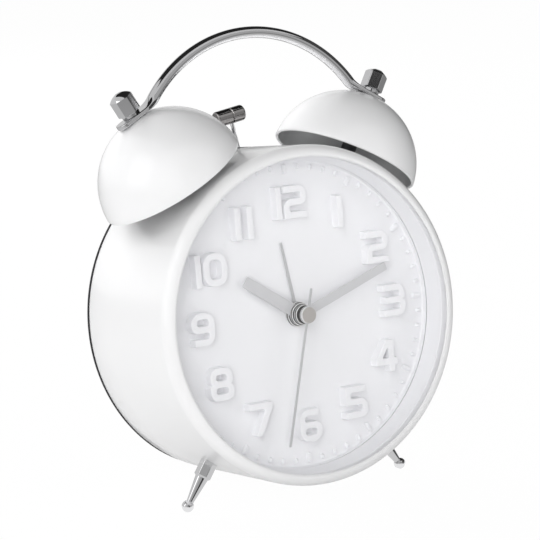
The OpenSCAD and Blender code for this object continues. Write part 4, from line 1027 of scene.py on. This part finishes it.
class CLOCK_OT_feet(bpy.types.Operator):
    """Feet with hex collars, tapered shanks and ball ends"""

    bl_idname = "clock.feet"
    bl_label = "Feet"

    def execute(self, context):
        s, drum = sizes(), reach("drum_case")
        root, collar, shank, ankle = -0.6 * MM, 5.2 * MM, 1.95 * MM, 1.05 * MM
        ray, far = hexagon(s.collar_radius, 0.28 * MM)
        guard, slope, flat = 0.03 * MM, 0.9, np.ones_like(far)
        cut = collar - (far - shank) * slope
        bottom = s.foot_length - math.sqrt(s.ball_radius**2 - ankle**2)
        taper = np.linspace(0, 1, 12)[:, None] * flat
        ball = np.linspace(math.asin(ankle / s.ball_radius), np.pi, 30)[1:, None] * flat
        hexed = [0 * flat, far, far, far, shank * flat]
        radius = [hexed, shank + (ankle - shank) * taper, s.ball_radius * np.sin(ball)]
        hexed = [root * flat, root * flat, cut - guard, cut, collar * flat]
        height = [hexed, collar + guard + (bottom - collar - guard) * taper]
        height.append(s.foot_length - s.ball_radius * np.cos(ball))
        radius, height = np.concatenate(radius), np.concatenate(height)
        depth = own(packed("foot_nuts"))[:, 1]
        middle = np.array([0.0, (depth.min() + depth.max()) / 2, 0.0])
        for side, word in SIDES.items():
            out = np.array([side * math.sin(s.foot_angle), 0.0, -math.cos(s.foot_angle)])
            shells = [swept(ray, radius, height, seat(out * drum + middle, out))]
            piece(f"stand_{word}", shells, "chrome", "case", "chrome", f"foot_{word}", crease=28.0)
        return {"FINISHED"}


class CLOCK_OT_back(bpy.types.Operator):
    """Back cover, setting knobs, switch, battery door and screws"""

    bl_idname = "clock.back"
    bl_label = "Back"

    def execute(self, context):
        for name in ("time_set", "alarm_set"):
            self.knob(name)
        self.bead()
        dress("black_plastic", "back_cover", "alarm_switch", "battery_door")
        dress("zinc_steel", "back_screws")
        return {"FINISHED"}

    def bead(self):
        """Edge of the cover, which stands a little proud of the drum.

        The radius falls by a set drop near six, where the clock rests on the drum's edge. The fall
        begins at a set cosine of the angle from six.
        """
        drum, drop, soft, begin = reach("drum_case"), 0.4 * MM, 0.25 * MM, 0.75
        start, end = span("drum_case")[1][1] + 0.03 * MM, span("back_cover")[1][1] - 0.4 * MM
        proud, inner = drum + 0.15 * MM, drum - 1.2 * MM
        corners = [(inner, start, 0), (proud, start, soft), (proud, end, soft), (inner, end, 0)]
        profile, ray = rounded(corners, 4, 0.05 * MM), polar(full_turn(240))
        radius = profile[:, :1] - drop * eased((-ray[:, 0] - begin) / (1 - begin))
        shell = swept(ray, radius, profile[:, 1:], DRUM, loop=True)
        piece("cover_bead", [shell], "black_plastic", "case", "black_plastic")

    def knob(self, name):
        """Fluted grip: the radius dips with the cosine of the flute count times the angle."""
        middle = own(JOINTS[f"{name}_turn"]["pos_m"])
        low, high = span(f"{name}_knob")
        radius, end, root = (high[0] - low[0]) / 2, high[1], low[1]
        start = span("back_cover")[1][1] + 0.35 * MM
        flutes, dip, soft, fine, fade = 20, 0.5 * MM, 0.6 * MM, 0.4 * MM, 0.6 * MM
        sunk, dish = end - 0.5 * MM, 0.45 * radius
        corners = [(0, start, 0), (radius, start, 0.3 * MM), (radius, end, soft)]
        corners += [(0.55 * radius, end, fine), (dish, sunk, fine), (0, sunk, 0)]
        profile = rounded(corners, 6, 0.05 * MM, closed=False)
        turn = full_turn(240)
        wave = 0.5 + 0.5 * np.cos(flutes * turn)
        level = np.clip((profile[:, 1:] - start - fade) / fade, 0, 1)
        rim = np.clip((profile[:, :1] - 0.8 * radius) / (0.15 * radius), 0, 1)
        radii = profile[:, :1] - dip * level * rim * wave**3
        where = seat((middle[0], 0.0, middle[2]), BACK, UP)
        neck, lap = 2.4 * MM, start + 0.2 * MM
        stem = [(0, root, 0), (neck, root, 0.2 * MM), (neck, lap, 0), (0, lap, 0)]
        shells = [swept(polar(turn), radii, profile[:, 1:], where), spindle(stem, where, 48, 3)]
        black, node = "black_plastic", f"{name}_knob"
        piece(f"{name}_grip", shells, black, name, black, node, crease=40.0)


class CLOCK_OT_works(bpy.types.Operator):
    """Finishes of the pieces inside the drum"""

    bl_idname = "clock.works"
    bl_label = "Works"

    looks = {
        "brass": (
            "second_arbor", "minute_pipe", "hour_pipe", "alarm_pipe", "motion_wheel", "third_wheel",
        ),
        "movement_plastic": (
            "movement_front", "movement_back", "train_bridge", "time_set_shaft", "alarm_set_shaft",
        ),
        "copper_winding": ("stepper_coil", "striker_coil"),
        "soft_iron": ("stepper_stator", "hammer_magnet"),
        "board_green": ("circuit_board",),
        "cell_jacket": ("battery_cell",),
        "black_plastic": ("hammer_lever",),
        "zinc_steel": (
            "movement_screws", "bell_post_nuts", "foot_nuts", "hammer_pin", "striker_bracket",
            "bracket_screws", "quartz_crystal", "battery_contact_plus", "battery_contact_minus",
        ),
    }

    def execute(self, context):
        for look, nodes in self.looks.items():
            dress(look, *nodes)
        return {"FINISHED"}


def standing(axes, spot):
    """Matrix of an object with its three axes as columns, at a spot."""
    matrix = np.eye(4)
    matrix[:3, :3], matrix[:3, 3] = axes, spot
    return Matrix(matrix.tolist())


# Half width and height of the room of cards, and the point that lamps and panels face
WIDE, TALL = 1.7, 1.4
AIM = np.array([0.0, 0.0, 0.07])
SOFTBOXES = {
    "key": (-0.68, -0.97, 0.28),
    "upper": (-0.7, -0.59, 0.84),
    "side": (-0.83, 0.7, 0.58),
    "fill": (0.75, -0.89, 0.38),
    "rear": (0.0, 1.04, 0.67),
}
# Middle, width and height, grey, the way the card faces, and the grey far out
CARDS = {
    "key_panel": ((-1.18, -0.1, 0.6), (0.8, 0.95), 1.9),
    "left_wall": ((-WIDE, 0.0, TALL / 2), (2 * WIDE, TALL), 0.66, (1, 0, 0)),
    "rear_wall": ((0.0, WIDE, 0.53), (2 * WIDE, 1.06), 0.66, (0, -1, 0)),
    "rear_top": ((0.0, WIDE, 1.23), (2 * WIDE, 0.34), 0.05, (0, -1, 0)),
    "right_wall": ((WIDE, 0.0, TALL / 2), (2 * WIDE, TALL), 0.06, (-1, 0, 0)),
    "camera_wall": ((-0.43, -WIDE, 0.66), (0.48, 1.32), 0.05, (0, 1, 0)),
    "front_wall": ((0.0, -WIDE - 0.05, TALL / 2), (2 * WIDE + 0.1, TALL), 0.42, (0, 1, 0)),
    "ceiling": ((0.0, 0.0, TALL), (2 * WIDE, 2 * WIDE), 0.62, (0, 0, -1)),
    "overhead": ((0.5, 0.55, TALL - 0.05), (2.3, 2.3), 0.02, (0, 0, -1)),
    "table": ((0.0, 0.0, 0.002), (2 * WIDE, 2 * WIDE), 0.7, (0, 0, 1), 0.25),
}


class CLOCK_OT_stage(bpy.types.Operator):
    """Floor, softboxes, cards, room light and camera"""

    bl_idname = "clock.stage"
    bl_label = "Stage"

    def execute(self, context):
        scene, stage = context.scene, context.scene.clock_stage
        scene.view_settings.view_transform = "Standard"
        self.room(scene, stage)
        self.floor(scene)
        for name, spot in SOFTBOXES.items():
            self.softbox(scene, f"{name}_softbox", spot, getattr(stage, name))
        for name, values in CARDS.items():
            self.card(scene, name, *values)
        self.camera(scene, stage)
        return {"FINISHED"}

    def room(self, scene, stage):
        """White to camera, mirrors and glass, and a faint light to all else."""
        scene.world = bpy.data.worlds.new("room")
        nodes = Nodes(scene.world)
        lit = nodes.add("Background", {"Color": WHITE, "Strength": stage.ambient})
        shown = nodes.add("Background", {"Color": WHITE})
        mix = nodes.add("MixShader", {0: nodes.seen(), 1: lit[0], 2: shown[0]})
        nodes.add("OutputWorld", {"Surface": mix[0]})

    def sheet(self, scene, name, points, material):
        """Flat grid of the stage with its material."""
        mesh = bpy.data.meshes.new(name)
        faces = quads(*points.shape[:2], loop_cols=False)
        mesh.from_pydata(points.reshape(-1, 3), [], faces.tolist())
        mesh.materials.append(material)
        made = bpy.data.objects.new(name, mesh)
        scene.collection.objects.link(made)
        return made

    def floor(self, scene):
        """Pale sheet that stays white to the camera and keeps a faint shadow."""
        half, white = 3.0, 0.985
        material = bpy.data.materials.new("floor_white")
        nodes = Nodes(material)
        pale = nodes.add("BsdfDiffuse", {"Color": (0.9, 0.9, 0.9, 1.0)})
        glow = nodes.add("Emission", {})
        share = nodes.add("Math", {0: nodes.seen(), 1: white}, operation="MULTIPLY")
        mix = nodes.add("MixShader", {0: share[0], 1: pale[0], 2: glow[0]})
        nodes.add("OutputMaterial", {"Surface": mix[0]})
        x, y = np.meshgrid([-half, half], [-half, half])
        self.sheet(scene, "floor", np.stack([x, y, 0 * x], -1), material)

    def softbox(self, scene, name, spot, power):
        """Square lamp that faces the clock and that mirrors don't show."""
        lamp = bpy.data.lights.new(name, "AREA")
        lamp.shape, lamp.size, lamp.energy = "SQUARE", 0.8, power
        made = bpy.data.objects.new(name, lamp)
        where = seat(spot, spot - AIM, UP)
        made.matrix_world = standing(where[1:].T, where[0])
        made.visible_glossy = False
        scene.collection.objects.link(made)

    def card(self, scene, name, spot, extent, grey, facing=None, far=None):
        """Grey card that only mirrors show, facing the clock unless told otherwise.

        With a far grey, the card goes over to it from 8 to 45 cm from the world's origin.
        """
        facing = AIM - spot if facing is None else np.array(facing, float)
        where = seat(spot, facing, UP if facing[:2].any() else BACK)
        u, v = (side[..., None] for side in np.meshgrid(*2 * [np.linspace(-0.5, 0.5, 9)]))
        points = spot + extent[0] * u * where[2] + extent[1] * v * where[1]
        material = bpy.data.materials.new(name)
        nodes = Nodes(material)
        material.cycles.emission_sampling = "NONE"
        if far is not None:
            spread = {"From Min": 0.08, "From Max": 0.45, "To Min": grey, "To Max": far}
            point = nodes.add("TexCoord", {})["Object"]
            length = nodes.add("VectorMath", {0: point}, operation="LENGTH")
            grey = nodes.add("MapRange", {"Value": length["Value"], **spread})["Result"]
        nodes.add("OutputMaterial", {"Surface": nodes.add("Emission", {"Strength": grey})[0]})
        made = self.sheet(scene, name, points, material)
        made.visible_camera = made.visible_diffuse = False
        made.visible_shadow = made.visible_transmission = False

    def camera(self, scene, stage):
        """Camera set in the clock's own frame, then leaned back with it."""
        (c, q), (level, rise) = polar(stage.azimuth), polar(stage.elevation)
        target = np.array([-14.66, 0.0, 15.26]) * MM
        back, right = np.array([q * level, -c * level, rise]), np.array([c, q, 0.0])
        up = np.cross(back, right)
        c, q = polar(stage.roll)
        lens = bpy.data.cameras.new("camera")
        lens.sensor_width, lens.lens = 36.0, stage.focal
        lens.clip_start, lens.clip_end = 0.01, 20.0
        made = bpy.data.objects.new("camera", lens)
        axes = np.stack([c * right + q * up, c * up - q * right, back], -1)
        made.matrix_world = standing(TILT @ axes, place(target + stage.distance * back))
        scene.collection.objects.link(made)
        scene.camera = made


class CLOCK_PT_panel(bpy.types.Panel):
    """Sidebar list of the clock's pieces"""

    bl_idname = "CLOCK_PT_panel"
    bl_label = "Twin-bell alarm clock"
    bl_space_type = "VIEW_3D"
    bl_region_type = "UI"
    bl_category = "Clock"

    def draw(self, context):
        for operator in OPERATORS:
            self.layout.operator(operator.bl_idname)


OPERATORS = (
    CLOCK_OT_drum, CLOCK_OT_face, CLOCK_OT_hands, CLOCK_OT_bells, CLOCK_OT_handle, CLOCK_OT_hammer,
    CLOCK_OT_feet, CLOCK_OT_back, CLOCK_OT_works, CLOCK_OT_stage,
)
GROUPS = {"clock_sizes": ClockSizes, "clock_colours": ClockColours, "clock_stage": ClockStage}


def register():
    for group in (*GROUPS.values(), *OPERATORS, CLOCK_PT_panel):
        bpy.utils.register_class(group)
    for name, group in GROUPS.items():
        setattr(bpy.types.Scene, name, PointerProperty(type=group))


def unregister():
    for name in GROUPS:
        delattr(bpy.types.Scene, name)
    for group in reversed((*GROUPS.values(), *OPERATORS, CLOCK_PT_panel)):
        bpy.utils.unregister_class(group)


def main():
    """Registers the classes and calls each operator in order."""
    register()
    for operator in OPERATORS:
        getattr(bpy.ops.clock, operator.bl_idname.split(".")[1])()


if __name__ == "__main__":
    main()
